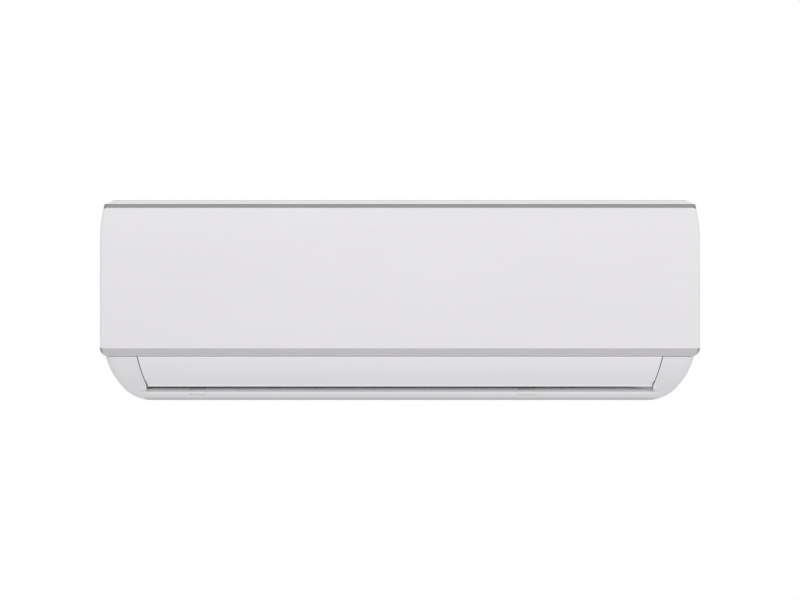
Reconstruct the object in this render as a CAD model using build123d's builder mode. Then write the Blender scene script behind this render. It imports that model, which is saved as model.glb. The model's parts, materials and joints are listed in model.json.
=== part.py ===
from build123d import *
from math import atan2, cos, degrees, exp, hypot, radians, sin, sqrt
import os

os.makedirs("parts", exist_ok=True)

# Wall-mounted indoor unit of a split air conditioner, in millimetres.
# x runs across (0 at the middle, right is positive seen from the front), d runs out from the wall,
# h runs up from the underside. The origin is on the wall, at the centre of the mounting plate's screws.

# ---- casing ----
origin_height = 160.0
casing_width = 954.0
casing_height = 322.0
casing_back = 16.0
casing_wall = 2.5
belly_radius = 89.0
belly_depth = 118.0
belly_edge_radius = 14.0
lower_corner_run = 78.0
lower_corner_rise = 100.0
upper_corner_radius = 20.0
nose_depth = 180.0
nose_drop = 6.0
nose_run = 22.0
frame_front = 199.0
sill_height = 70.2
hinge_shelf_height = 304.0

# ---- front panel ----
panel_width = 965.0
panel_wall = 3.0
panel_bottom = 70.8
panel_trim_low = 83.4
panel_trim_high = 309.4
panel_top = 315.6
panel_front = 214.8
panel_belly_height = 195.0
panel_ridge_depth = 194.8
panel_waist_depth = 213.0
panel_brow_depth = 205.1
panel_chin_depth = 205.8
panel_rear_edge = 186.0
panel_return_back = 194.0
panel_side_taper = 6.0
panel_taper_start = 262.0
panel_lower_corner = 13.0
panel_edge_radius = 5.0
trim_thickness = 1.0
panel_axis = (189.0, 309.0)
panel_pin_radius = 2.5
panel_pin_length = 9.0
panel_arm_x = 400.0
panel_arm_width = 6.0
panel_ear_radius = 4.0
panel_ear_width = 3.0
latch_x = 300.0
latch_height = 92.0
latch_width = 12.0
latch_slot_width = 14.0
latch_slot_height = 9.0
panel_flange = 2.0
panel_casing_gap = 0.6
panel_arm_foot = 298.0
trim_fit = 0.05

# ---- manual button ----
button_x = 356.0
button_radius = 3.5
button_fit = 0.3
button_travel = 1.2
button_proud = 0.9

# ---- screw caps ----
screw_x = (-325.0, 204.0)
cap_width = 26.0
cap_fit = 0.15
cap_sink = 1.0
cap_proud = 0.4

# ---- intake grille ----
grille_half = 411.0
grille_back = 26.0
grille_front = 148.0
grille_ledge = 3.0
grille_pitch = 10.0
grille_bar = 3.6
grille_columns = 80
grille_rows = 3
grille_row_pitch = 38.0
grille_bridge = 5.0

# ---- outlet ----
scroll_growth = 0.197
scroll_start = 150.0
scroll_end = 257.0
scroll_gap = 5.0
outlet_cut_depth = 140.0
outlet_slope = radians(24.0)
floor_start = (82.1, 54.6)
floor_wall = 2.5
lip_radius = 5.0
lip_depth = 148.0
tongue = (144.2, 101.0)
flare_start = 142.5
flare_end = 168.0
trough_rear = 152.0
trough_nose = 190.0
trough_floor = 106.0
trough_rim = 116.0
trough_ribs = (-380.0, -210.0, -40.0, 130.0, 280.0)
wall_front = 150.0
wall_step = 124.0
wall_low_depth = 134.0
end_wall_radius = 84.5
end_wall_knee = 57.0
rear_trough = 200.0
trough_front = 50.0
bearing_seat_radius = 14.0
outlet_top = (195.5, 70.0)
duct_end_x = 425.0
duct_wall = 2.5
throat_left = 404.0
throat_right = 290.0

# ---- louver ----
louver_top = 69.6
louver_bottom = 23.2
louver_half_top = 422.3
louver_half_middle = 415.6
louver_half_bottom = 402.9
louver_middle = 48.9
louver_gap = 1.7
louver_corner_gap = 4.9
louver_thickness = 4.0
louver_recess = 0.4
louver_axis = (174.1, 27.8)
louver_pin_radius = 2.5
louver_boss_radius = 4.6
louver_pin_end = 434.0
louver_boss_length = 5.0
louver_arm_width = 5.0
louver_arm_top = (189.0, 52.0)
louver_corner_radius = 3.0

# ---- vertical vanes ----
vane_swing = 30.0
link_fit = 0.3
vane_count = 5
vane_pitch = 70.0
vane_first_x = -365.0
vane_depth = 126.0
vane_back = 16.0
vane_front = 20.0
vane_height = 44.0
vane_thickness = 2.0
vane_foot = 0.6
vane_pin_radius = 2.0
link_pin_at = 13.0
link_pin_radius = 1.2
link_level = 30.0
link_width = 7.0
link_thickness = 2.0
link_overhang = 6.0

# ---- crossflow fan ----
fan_center = (100.0, 132.0)
fan_radius = 50.0
fan_left = -398.0
fan_right = 283.0
blade_count = 35
blade_thickness = 1.2
blade_inner_radius = 39.0
blade_sweep = 14.0
blade_bulge = 1.8
ring_count = 11
ring_thickness = 2.0
shaft_radius = 4.0
fan_hub_radius = 14.0
hub_length = 22.0
stub_hub_length = 10.0
screw_inset = 8.0
screw_radius = 2.5
bush_radius = 7.0
bush_length = 6.0

# ---- motor ----
motor_left = 302.0
motor_length = 76.0
motor_radius = 40.0
motor_boss_radius = 17.0
motor_boss_length = 5.0
rubber_ring_radius = 22.0
cover_radius = 44.0

# ---- evaporator ----
coil_left = -398.0
coil_right = 300.0
coil_thickness = 26.0
row_spacing = 13.0
tube_radius = 3.5
tube_bore = 2.8
tube_fit = 0.1
end_plate = 1.2
tubes_per_row = 4
tube_stub = 4.0
coil_front = ((173.0, 116.0), (173.0, 212.0))
coil_upper = ((166.0, 222.0), (116.0, 282.0))
coil_rear = ((88.0, 286.0), (34.0, 222.0))

# ---- filters ----
filter_depth = 193.0
filter_bottom = 119.0
filter_bend = 246.0
filter_top = 297.0
filter_top_bend = 141.0
filter_back = 84.0
filter_bend_radius = 18.0
filter_frame = 3.0
filter_net = 0.8
filter_border = 7.0
filter_rib = 3.0
filter_gap = 4.0
filter_handle = 40.0
filter_rest_width = 8.0
filter_rest_inset = 30.0
filter_rest_pitch = 40.0
window_margin = 5.0
window_low = 116.0
window_high = 298.0
filter_handle_reach = 9.0
filter_bars = (
    (193.0, 121.5, 5.0, 0), (193.0, 165.0, 3.0, 0), (193.0, 205.0, 3.0, 0),
    (167.0, 271.5, 3.0, 45.56), (86.5, 297.0, 5.0, 90), (115.0, 297.0, 3.0, 90),
)

# ---- control box ----
box_left = 390.0
box_right = 466.0
box_back = 46.0
box_front = 178.0
box_low = 120.0
box_high = 286.0
box_wall = 2.0
board_thickness = 1.6
board_standoff = 8.0
board_depth = 112.0
board_height = 156.0
cover_sheet = 1.2
cover_rim = 6.0
terminal_count = 5
terminal_h = 150.0
terminal_height = 26.0
terminal_depth = 12.0
clamp_h = 126.0

# ---- display ----
display_x = 392.0
display_h = 94.0
display_width = 104.0
display_height = 22.0
display_depth = 9.2
display_wall = 1.6
receiver_radius = 3.6

# ---- sensors ----
room_sensor_x = 276.0
room_sensor_h = 150.0
coil_sensor_h = 150.0

# ---- louver drive ----
louver_motor_left = 430.4
louver_motor_length = 10.0
louver_motor_radius = 8.0
louver_motor_offset = 7.0

# ---- mounting plate ----
plate_thickness = 1.5
plate_width = 620.0
plate_low = 84.0
plate_high = 296.0
back_recess = 12.0
plate_hole_radius = 3.0
plate_hole_x = 300.0
plate_hole_h = 100.0
hook_width = 30.0
hook_rise = 8.0
hook_pitch = 230.0
hook_reach = 20.0
plate_window_h = 206.0
plate_window_height = 60.0
plate_row_pitch = 50.0
plate_row_count = 11

# ---- fits ----
clear = 0.3
running_fit = 0.05

# ---- casing screws and pipe clamp ----
casing_screw_x = (-395.0, -130.0, 130.0, 330.0)
casing_screw_h = 107.0
casing_screw_hole = 1.9
pipe_clamp_x = 150.0

# ---- chassis ----
rim_back = 0.8
rim_inset = 1.0
rim_wall = 2.5
rim_tuck = 10.0
cover_start = 390.0
bottom_plate = 3.4
bottom_seam = 70.0
bottom_half = 388.0
riser_x = 340.0
riser_depth = 30.0
saddle_width = 4.0
saddle_half = 38.0
nozzle_length = 18.0
nozzle_x = 410.0
nozzle_h = 42.0

# ---- rear pipe channel ----
channel_front = 46.0
channel_top = 68.0
gas_pipe_radius = 6.35
liquid_pipe_radius = 3.175
gas_level = 22.0
liquid_level = 48.0
stub_x = -60.0
thread_length = 12.0
nut_length = 16.0
gas_nut = 12.0
gas_union = 9.5
liquid_nut = 8.5
liquid_union = 5.55
pipe_wall = 0.8
drain_radius = 9.0
drain_bore = 7.5


def side_plane(x):
    # Seen along x: the first axis is depth from the wall, the second is height; it extrudes toward -x
    return Plane(origin=(x, 0, -origin_height), x_dir=(0, -1, 0), z_dir=(-1, 0, 0))


def front_plane(d):
    # Seen from the front: the first axis is x, the second is height; it extrudes toward the room
    return Plane(origin=(0, -d, -origin_height), x_dir=(1, 0, 0), z_dir=(0, -1, 0))


def level_plane(h):
    # Seen from above: the first axis is x, the second points to the wall; it extrudes upward
    return Plane(origin=(0, 0, h - origin_height), x_dir=(1, 0, 0), z_dir=(0, 0, 1))


def place(x, point):
    # The point in space at x and at (depth, height)
    return Vector(x, -point[0], point[1] - origin_height)


def floor_height(d):
    # The outlet floor, a straight slope down to the lip
    return floor_start[1] - (d - floor_start[0]) * sin(outlet_slope) / cos(outlet_slope)


def belly_height(d, radius):
    # Height of the round belly's surface under its centre
    return belly_radius - sqrt(radius**2 - (d - belly_depth) ** 2)


def belly_reach(h, radius):
    # Depth of the round belly's surface at a height
    return belly_depth + sqrt(radius**2 - (belly_radius - h) ** 2)


def shifted(point, direction, distance):
    # The point moved along a direction in the side view
    return (point[0] + direction[0] * distance, point[1] + direction[1] * distance)


vane_positions = [vane_first_x + vane_pitch * index for index in range(2 * vane_count)]
saddles = (motor_left - motor_boss_length + 0.5, motor_left + motor_length + 0.5)


def vane_foot_plane(x):
    # On the outlet floor at a vane's pivot, standing square on the floor
    return Plane(
        origin=place(x, (vane_depth, floor_height(vane_depth))),
        x_dir=(1, 0, 0), z_dir=(0, -flow_up[0], flow_up[1]),
    )


def link_pin_plane(x):
    # At the foot of a vane's link pin, in the lower edge of its notch
    along = shifted((vane_depth, floor_height(vane_depth)), flow, link_pin_at)
    base = shifted(along, flow_up, link_level - link_thickness / 2 - 1.2)
    return Plane(origin=place(x, base), x_dir=(1, 0, 0), z_dir=(0, -flow_up[0], flow_up[1]))


def trim_outline(which, fit, overshoot):
    # A trim's section: a strip let into the panel's outer slant, or the strip's seat
    if which == "top":
        upper = (panel_ridge_depth, panel_top)
        lower = (panel_brow_depth, panel_trim_high)
    else:
        upper = (panel_waist_depth, panel_trim_low)
        lower = (panel_chin_depth, panel_bottom)
    length = hypot(lower[0] - upper[0], lower[1] - upper[1])
    along = ((lower[0] - upper[0]) / length, (lower[1] - upper[1]) / length)
    out = (-along[1], along[0])
    deep = trim_thickness - fit
    start = shifted(upper, along, fit)
    end = shifted(lower, along, -fit)
    return (
        shifted(start, out, overshoot),
        shifted(start, out, -deep),
        shifted(end, out, -deep),
        shifted(end, out, overshoot),
    )


flow = (cos(outlet_slope), -sin(outlet_slope))
flow_up = (sin(outlet_slope), cos(outlet_slope))


# ---------------------------------------------------------------- casing

# The oval lower corners, each turned in two halves: a tighter one below, a wider one at the side
corner_stretch = (lower_corner_rise - lower_corner_run) / (sqrt(2) - 1)
corner_low_radius = lower_corner_rise - corner_stretch / sqrt(2)
corner_side_radius = lower_corner_run + corner_stretch / sqrt(2)


def casing_outline(inset):
    # The casing's front view: wide oval corners below, tight round ones above
    half = casing_width / 2 - inset
    top = casing_height - inset
    flat = casing_width / 2 - lower_corner_run
    high = upper_corner_radius - inset
    Line((-flat, inset), (flat, inset))
    right_turn = JernArc((flat, inset), (1, 0), corner_low_radius - inset, 45)
    JernArc(right_turn @ 1, right_turn % 1, corner_side_radius - inset, 45)
    Line((half, lower_corner_rise), (half, casing_height - upper_corner_radius))
    JernArc((half, casing_height - upper_corner_radius), (0, 1), high, 90)
    Line((half - high, top), (high - half, top))
    JernArc((high - half, top), (-1, 0), high, 90)
    Line((-half, casing_height - upper_corner_radius), (-half, lower_corner_rise))
    left_turn = JernArc((-half, lower_corner_rise), (0, -1), corner_side_radius - inset, 45)
    JernArc(left_turn @ 1, left_turn % 1, corner_low_radius - inset, 45)


def casing_block(inset, back):
    # The casing's filled outer form, made smaller by the inset
    half = casing_width / 2 - inset
    top = casing_height - inset
    belly = belly_radius - inset
    nose_start = nose_depth - nose_run
    with BuildPart() as block:
        with BuildSketch(side_plane(half)):
            with BuildLine():
                Line((back, inset), (belly_depth, inset))
                belly_arc = CenterArc((belly_depth, belly_radius), belly, -90, 90)
                Polyline(belly_arc @ 1, ((belly_arc @ 1).X, hinge_shelf_height),
                         (nose_depth + 4, top - nose_drop), (nose_depth, top - nose_drop))
                brow = RadiusArc((nose_depth, top - nose_drop), (nose_start, top),
                                 (nose_run**2 + nose_drop**2) / (2 * nose_drop))
                Polyline(brow @ 1, (back, top), (back, inset))
            make_face()
        extrude(amount=2 * half)
        with BuildSketch(front_plane(back - 1)):
            with BuildLine():
                casing_outline(inset)
            make_face()
        extrude(amount=panel_front, mode=Mode.INTERSECT)
        low_edges = [
            edge for edge in block.edges().filter_by(GeomType.BSPLINE)
            if edge.center().Z < sill_height - origin_height
        ]
        fillet(low_edges, radius=belly_edge_radius - inset)
        # the panel's seat and the hinge shelf
        with BuildSketch(side_plane(casing_width)):
            with BuildLine():
                Polyline(
                    (frame_front - inset, sill_height - inset),
                    (panel_front, sill_height - inset),
                    (panel_front, casing_height + 1),
                    (nose_depth - inset, casing_height + 1),
                    (nose_depth - inset, hinge_shelf_height - inset),
                    (frame_front - inset, hinge_shelf_height - inset),
                    close=True,
                )
            make_face()
        extrude(amount=2 * casing_width, mode=Mode.SUBTRACT)
    return block.part


# The two filters' widths and middles, side by side before the coil
filter_left = coil_left
filter_right = coil_right + end_plate
filter_middle = (filter_left + filter_right) / 2
filter_width = (filter_right - filter_left - filter_gap) / 2
filter_spread = (filter_width + filter_gap) / 2
filter_x = (filter_middle - filter_spread, filter_middle + filter_spread)
lip_end = louver_half_bottom + louver_corner_gap + 1.5


def lip_point(inside):
    # Where the outlet floor runs out through the belly, both moved inward by the same distance
    fall = sin(outlet_slope) / cos(outlet_slope)
    drop = floor_height(belly_depth) - inside / cos(outlet_slope) - belly_radius
    reach = belly_radius - inside
    run = (drop * fall + sqrt((drop * fall) ** 2 - (1 + fall**2) * (drop**2 - reach**2))) / (1 + fall**2)
    return (belly_depth + run, belly_radius + drop - fall * run)


lip_tip = lip_point(0)
lip_center = lip_point(lip_radius)
lip_hollow_end = lip_center[0] + 1


def outlet_outline(gap, corner_gap):
    # The louver's outline seen from the front, made larger by a gap
    low = floor_height(175.0)
    low_half = louver_half_bottom + corner_gap
    middle_half = louver_half_middle + gap
    top_half = louver_half_top + gap
    side_right = ThreePointArc(
        (low_half, louver_bottom), (middle_half, louver_middle), (top_half, louver_top + 3)
    )
    side_left = ThreePointArc(
        (-top_half, louver_top + 3), (-middle_half, louver_middle), (-low_half, louver_bottom)
    )
    Line(side_right @ 1, side_left @ 0)
    Polyline(side_left @ 1, (-low_half, low - 4), (low_half, low - 4), side_right @ 0)


with BuildPart() as front_frame:
    add(casing_block(0, casing_back))
    add(casing_block(casing_wall, casing_back - 6), mode=Mode.SUBTRACT)
    # the outlet, cut from the front along the louver's outline
    with BuildSketch(front_plane(outlet_cut_depth)):
        with BuildLine():
            outlet_outline(louver_gap, louver_corner_gap)
        make_face()
    extrude(amount=panel_front - outlet_cut_depth, mode=Mode.SUBTRACT)
    # the lip: the outlet floor's last stretch, turned round into the belly
    with BuildSketch(side_plane(lip_end)) as lip_section:
        with BuildLine():
            Line((lip_depth, belly_height(lip_depth, belly_radius)), (lip_depth, floor_height(lip_depth)))
            Line((lip_depth, floor_height(lip_depth)), lip_tip)
            RadiusArc(lip_tip, (lip_depth, belly_height(lip_depth, belly_radius)), belly_radius)
        make_face()
        tip = lip_section.vertices().sort_by(Axis.X)[-1]
        fillet(tip, radius=lip_radius)
        hollow_wall = belly_radius - casing_wall
        floor_sink = floor_wall / cos(outlet_slope)
        with BuildLine():
            Polyline(
                (lip_depth - 1, belly_height(lip_depth - 1, hollow_wall)),
                (lip_depth - 1, floor_height(lip_depth - 1) - floor_sink),
                (lip_hollow_end, floor_height(lip_hollow_end) - floor_sink),
                (lip_hollow_end, belly_height(lip_hollow_end, hollow_wall)),
            )
            RadiusArc(
                (lip_hollow_end, belly_height(lip_hollow_end, hollow_wall)),
                (lip_depth - 1, belly_height(lip_depth - 1, hollow_wall)), hollow_wall,
            )
        make_face(mode=Mode.SUBTRACT)
    extrude(amount=2 * lip_end)
    # windows that the filters are drawn out through
    with BuildSketch(front_plane(frame_front - casing_wall - 1)):
        for middle in filter_x:
            with Locations((middle, (window_low + window_high) / 2)):
                RectangleRounded(filter_width - 2 * window_margin, window_high - window_low, 6)
    extrude(amount=casing_wall + 2, mode=Mode.SUBTRACT)
    # small rests under the filters' lower edges
    rest_top = filter_bottom - clear
    rest_back = filter_depth - filter_frame / 2 - 0.5
    rest_root = frame_front - casing_wall / 2
    rest_reach = filter_width / 2 - filter_rest_inset
    for middle in filter_x:
        for shift in (-rest_reach, -filter_rest_pitch, filter_rest_pitch, rest_reach):
            with BuildSketch(side_plane(middle + shift + filter_rest_width / 2)):
                with BuildLine():
                    Polyline(
                        (rest_back, rest_top), (frame_front - casing_wall, rest_top),
                        (rest_root, window_low - 1), (rest_root, window_low - 6),
                        (rest_back, rest_top - 3), close=True,
                    )
                make_face()
            extrude(amount=filter_rest_width)
    # the opening for the air intake grille in the top
    with BuildSketch(level_plane(casing_height - casing_wall - 1)):
        with Locations((0, -(grille_back + grille_front) / 2)):
            Rectangle(2 * grille_half, grille_front - grille_back)
    extrude(amount=casing_wall + 2, mode=Mode.SUBTRACT)
    # ears on the hinge shelf that carry the panel's pins
    for side in (-1, 1):
        ear_x = side * (panel_arm_x + panel_arm_width / 2 + clear + panel_ear_width / 2)
        with BuildSketch(side_plane(ear_x + panel_ear_width / 2)):
            with Locations(panel_axis):
                Circle(panel_ear_radius)
            with BuildLine():
                Polyline(
                    (panel_axis[0] - panel_ear_radius, panel_axis[1]),
                    (panel_axis[0] + panel_ear_radius, panel_axis[1]),
                    (panel_axis[0] + panel_ear_radius, hinge_shelf_height - 1),
                    (panel_axis[0] - panel_ear_radius, hinge_shelf_height - 1),
                    close=True,
                )
            make_face()
            with Locations(panel_axis):
                Circle(panel_pin_radius + running_fit, mode=Mode.SUBTRACT)
        extrude(amount=panel_ear_width)
    # slots for the panel's two latch hooks
    with BuildSketch(front_plane(frame_front - casing_wall - 1)):
        with Locations((-latch_x, latch_height), (latch_x, latch_height)):
            Rectangle(latch_slot_width, latch_slot_height)
        with Locations(*[(x, casing_screw_h) for x in casing_screw_x]):
            Circle(casing_screw_hole)
    extrude(amount=casing_wall + 2, mode=Mode.SUBTRACT)
    # pockets in the lip for the two screw caps, and the screws' holes under them
    for x in screw_x:
        with BuildSketch(side_plane(x + cap_width / 2 + cap_fit)):
            with Locations(lip_center):
                Circle(lip_radius + 2)
                Circle(lip_radius - cap_sink, mode=Mode.SUBTRACT)
            with BuildLine():
                Polyline(lip_center, shifted(lip_center, flow, -3 * lip_radius),
                         shifted(lip_center, flow_up, -3 * lip_radius), close=True)
            make_face(mode=Mode.SUBTRACT)
        extrude(amount=cap_width + 2 * cap_fit, mode=Mode.SUBTRACT)
    # relief in the cheeks for the louver's bearings
    for x in (-duct_end_x + 18, duct_end_x + 6):
        with BuildSketch(side_plane(x)):
            with Locations(louver_axis):
                Circle(louver_boss_radius + 0.5)
        extrude(amount=24, mode=Mode.SUBTRACT)
    # the bottom is open toward the wall, where the chassis fills it
    with BuildSketch(level_plane(-1)):
        with Locations((0, -(casing_back + bottom_seam) / 2)):
            Rectangle(2 * bottom_half, bottom_seam - casing_back)
    extrude(amount=casing_wall + 2, mode=Mode.SUBTRACT)
front_frame.part.label = "front_frame"
export_step(front_frame.part, "parts/front_frame.step")

# The intake grille: three rows of slots, with a rim that rests under the casing's top
with BuildPart() as top_grille:
    with BuildSketch(level_plane(casing_height - casing_wall)):
        with Locations((0, -(grille_back + grille_front) / 2)):
            Rectangle(2 * (grille_half - clear), grille_front - grille_back - 2 * clear)
            with GridLocations(grille_pitch, grille_row_pitch, grille_columns, grille_rows):
                SlotOverall(grille_row_pitch - grille_bridge, grille_pitch - grille_bar,
                            rotation=90, mode=Mode.SUBTRACT)
    extrude(amount=casing_wall)
    with BuildSketch(level_plane(casing_height - casing_wall - clear)):
        with Locations((0, -(grille_back + grille_front) / 2)):
            Rectangle(2 * (grille_half + grille_ledge), grille_front - grille_back + 2 * grille_ledge)
            Rectangle(2 * (grille_half - grille_ledge), grille_front - grille_back - 2 * grille_ledge,
                      mode=Mode.SUBTRACT)
    extrude(amount=-2)
    with BuildSketch(level_plane(casing_height - casing_wall - clear - 1)):
        with Locations((0, -(grille_back + grille_front) / 2)):
            Rectangle(2 * (grille_half - clear), grille_front - grille_back - 2 * clear)
            Rectangle(2 * (grille_half - grille_ledge), grille_front - grille_back - 2 * grille_ledge,
                      mode=Mode.SUBTRACT)
    extrude(amount=1 + 2 * clear)
top_grille.part.label = "top_grille"
export_step(top_grille.part, "parts/top_grille.step")

# Caps over the two screws in the lip
with BuildPart() as screw_caps:
    for x in screw_x:
        with BuildSketch(side_plane(x + cap_width / 2)):
            with Locations(lip_center):
                Circle(lip_radius + cap_proud)
                Circle(lip_radius - cap_sink + cap_fit, mode=Mode.SUBTRACT)
            with BuildLine():
                Polyline(
                    shifted(lip_center, flow, 0.4),
                    shifted(shifted(lip_center, flow, 0.4), flow_up, 9),
                    shifted(shifted(lip_center, flow, -12), flow_up, 9),
                    shifted(shifted(lip_center, flow, -12), flow_up, -9),
                    shifted(shifted(lip_center, flow, 0.4), flow_up, -9),
                    close=True,
                )
            make_face(mode=Mode.SUBTRACT)
            with Locations(shifted(lip_center, (-0.35, -0.94), lip_radius + 3.5)):
                Rectangle(14, 8, rotation=20, mode=Mode.SUBTRACT)
        extrude(amount=cap_width)
screw_caps.part.label = "screw_caps"
export_step(screw_caps.part, "parts/screw_caps.step")


# ---------------------------------------------------------------- front panel

def panel_block(inset, back):
    # The panel's filled form: bowed front, slanted brow and chin, tapered upper corners
    half = panel_width / 2 - inset
    brow = (panel_brow_depth - inset, panel_trim_high)
    waist = (panel_waist_depth - inset, panel_trim_low)
    ridge = (panel_ridge_depth - inset, panel_top - inset)
    with BuildPart() as block:
        with BuildSketch(side_plane(half)):
            with BuildLine():
                chin = (panel_chin_depth - inset, panel_bottom + inset)
                Polyline((back, panel_bottom + inset), chin, waist)
                ThreePointArc(waist, (panel_front - inset, panel_belly_height), brow)
                Polyline(brow, ridge, (back, panel_top - inset), (back, panel_bottom + inset))
            make_face()
        extrude(amount=2 * half)
        with BuildSketch(front_plane(back - 1)):
            with BuildLine():
                low = panel_bottom + inset
                corner = panel_lower_corner - inset
                Line((corner - half, low), (half - corner, low))
                JernArc((half - corner, low), (1, 0), corner, 90)
                Line((half, low + corner), (half, panel_taper_start))
                JernArc((half, panel_taper_start), (0, 1), panel_taper_radius, panel_taper_angle)
                JernArc((-half, panel_taper_start), (0, 1), panel_taper_radius, -panel_taper_angle)
                top_half = half - panel_side_taper
                Polyline((top_half, panel_trim_high), (top_half - 2, panel_top + 1),
                         (2 - top_half, panel_top + 1), (-top_half, panel_trim_high))
                Line((-half, panel_taper_start), (-half, low + corner))
                JernArc((-half, low + corner), (0, -1), corner, 90)
            make_face()
        extrude(amount=panel_front, mode=Mode.INTERSECT)
    return block.part


taper_rise = panel_trim_high - panel_taper_start
panel_taper_radius = (taper_rise**2 + panel_side_taper**2) / (2 * panel_side_taper)
panel_taper_angle = degrees(atan2(taper_rise, panel_taper_radius - panel_side_taper))

with BuildPart() as front_panel:
    add(panel_block(0, panel_return_back))
    side_edges = [
        edge for edge in front_panel.edges()
        if abs(edge.center().X) > panel_width / 2 - panel_side_taper - 1 and edge.length > 60
        and edge.center().Y < -(panel_waist_depth - 8)
    ]
    fillet(side_edges, radius=panel_edge_radius)
    add(panel_block(panel_wall, panel_return_back - 5), mode=Mode.SUBTRACT)
    # room for the casing's front, which the panel's edges reach round
    with BuildSketch(front_plane(panel_return_back - 1)):
        with BuildLine():
            casing_outline(-panel_casing_gap)
        make_face()
        with Locations((0, hinge_shelf_height + panel_casing_gap + casing_height / 2)):
            Rectangle(2 * casing_width, casing_height, mode=Mode.SUBTRACT)
    extrude(amount=frame_front + panel_casing_gap - panel_return_back + 1, mode=Mode.SUBTRACT)
    # the top flange runs back to the hinge line
    with BuildSketch(side_plane(panel_width / 2 - panel_side_taper - 4)):
        with BuildLine():
            Polyline(
                (panel_rear_edge, panel_top),
                (panel_ridge_depth, panel_top),
                (panel_ridge_depth, panel_top - panel_flange),
                (panel_rear_edge, panel_top - panel_flange),
                close=True,
            )
        make_face()
    extrude(amount=panel_width - 2 * panel_side_taper - 8)
    # the seats of the two trims
    for seat in ("top", "bottom"):
        with BuildSketch(side_plane(panel_width)):
            with BuildLine():
                Polyline(trim_outline(seat, 0, 4), close=True)
            make_face()
        extrude(amount=2 * panel_width, mode=Mode.SUBTRACT)
    # arms with the hinge pins
    for side in (-1, 1):
        with BuildSketch(side_plane(side * panel_arm_x + panel_arm_width / 2)):
            with Locations(panel_axis):
                Circle(panel_ear_radius)
            with BuildLine():
                Polyline(
                    (panel_axis[0], panel_axis[1] + panel_ear_radius),
                    (panel_axis[0], panel_axis[1] - panel_ear_radius),
                    (frame_front + 1, panel_axis[1] - panel_ear_radius),
                    (frame_front + 1, panel_arm_foot),
                    (panel_brow_depth - 0.6, panel_arm_foot),
                    (panel_brow_depth - 1, panel_axis[1] - 3),
                    (panel_ridge_depth + 1.4, panel_axis[1] + panel_ear_radius),
                    close=True,
                )
            make_face()
        extrude(amount=panel_arm_width)
        pin_start = side * panel_arm_x + side * panel_arm_width / 2 + max(side, 0) * panel_pin_length
        with BuildSketch(side_plane(pin_start)):
            with Locations(panel_axis):
                Circle(panel_pin_radius)
        extrude(amount=panel_pin_length)
        # the latch hook near the bottom
        with BuildSketch(side_plane(side * latch_x + latch_width / 2)):
            with BuildLine():
                Polyline(
                    (panel_waist_depth - panel_wall + 1.5, latch_height + 3),
                    (panel_waist_depth - panel_wall + 1.5, latch_height - 3),
                    (frame_front - 6, latch_height - 1.5),
                    (frame_front - 6, latch_height + 1.5),
                    (frame_front - 3.6, latch_height + 3),
                    (frame_front - 3.6, latch_height + 1.5),
                    close=True,
                )
            make_face()
        extrude(amount=latch_width)
front_panel.part.label = "front_panel"
export_step(front_panel.part, "parts/front_panel.step")

# Silver trims along the panel's brow and chin
with BuildPart() as panel_top_trim:
    with BuildSketch(side_plane(panel_width)):
        with BuildLine():
            Polyline(trim_outline("top", trim_fit, 0), close=True)
        make_face()
    extrude(amount=2 * panel_width)
    add(panel_block(0, 150), mode=Mode.INTERSECT)
panel_top_trim.part.label = "panel_top_trim"
export_step(panel_top_trim.part, "parts/panel_top_trim.step")

with BuildPart() as panel_bottom_trim:
    with BuildSketch(side_plane(panel_width)):
        with BuildLine():
            Polyline(trim_outline("bottom", trim_fit, 0), close=True)
        make_face()
    extrude(amount=2 * panel_width)
    add(panel_block(0, 150), mode=Mode.INTERSECT)
panel_bottom_trim.part.label = "panel_bottom_trim"
export_step(panel_bottom_trim.part, "parts/panel_bottom_trim.step")


# ---------------------------------------------------------------- rear chassis

def scroll_point(angle, wall):
    # A point of the fan's spiral guide, moved outward by a wall
    radius = (fan_radius + scroll_gap) * exp(scroll_growth * radians(angle - scroll_start)) + wall
    return (fan_center[0] + radius * cos(radians(angle)), fan_center[1] + radius * sin(radians(angle)))


def plate_between(x_low, x_high, points):
    # A flat plate across the unit: its outline in the side view, from x_low to x_high
    with BuildPart() as plate:
        with BuildSketch(side_plane(x_high)):
            with BuildLine():
                Polyline(*points, close=True)
            make_face()
        extrude(amount=x_high - x_low)
    return plate.part


# The pipe channel's walls, kept inside the casing's rounded corners
with BuildPart() as channel_walls:
    add(plate_between(-casing_width / 2, casing_width / 2, [
        (back_recess, channel_top - duct_wall), (channel_front, channel_top - duct_wall),
        (channel_front, 0), (channel_front + duct_wall, 0),
        (channel_front + duct_wall, channel_top), (back_recess, channel_top),
    ]))
    with BuildSketch(front_plane(rim_back)):
        with BuildLine():
            casing_outline(casing_wall + clear)
        make_face()
    extrude(amount=bottom_seam, mode=Mode.INTERSECT)

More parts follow.
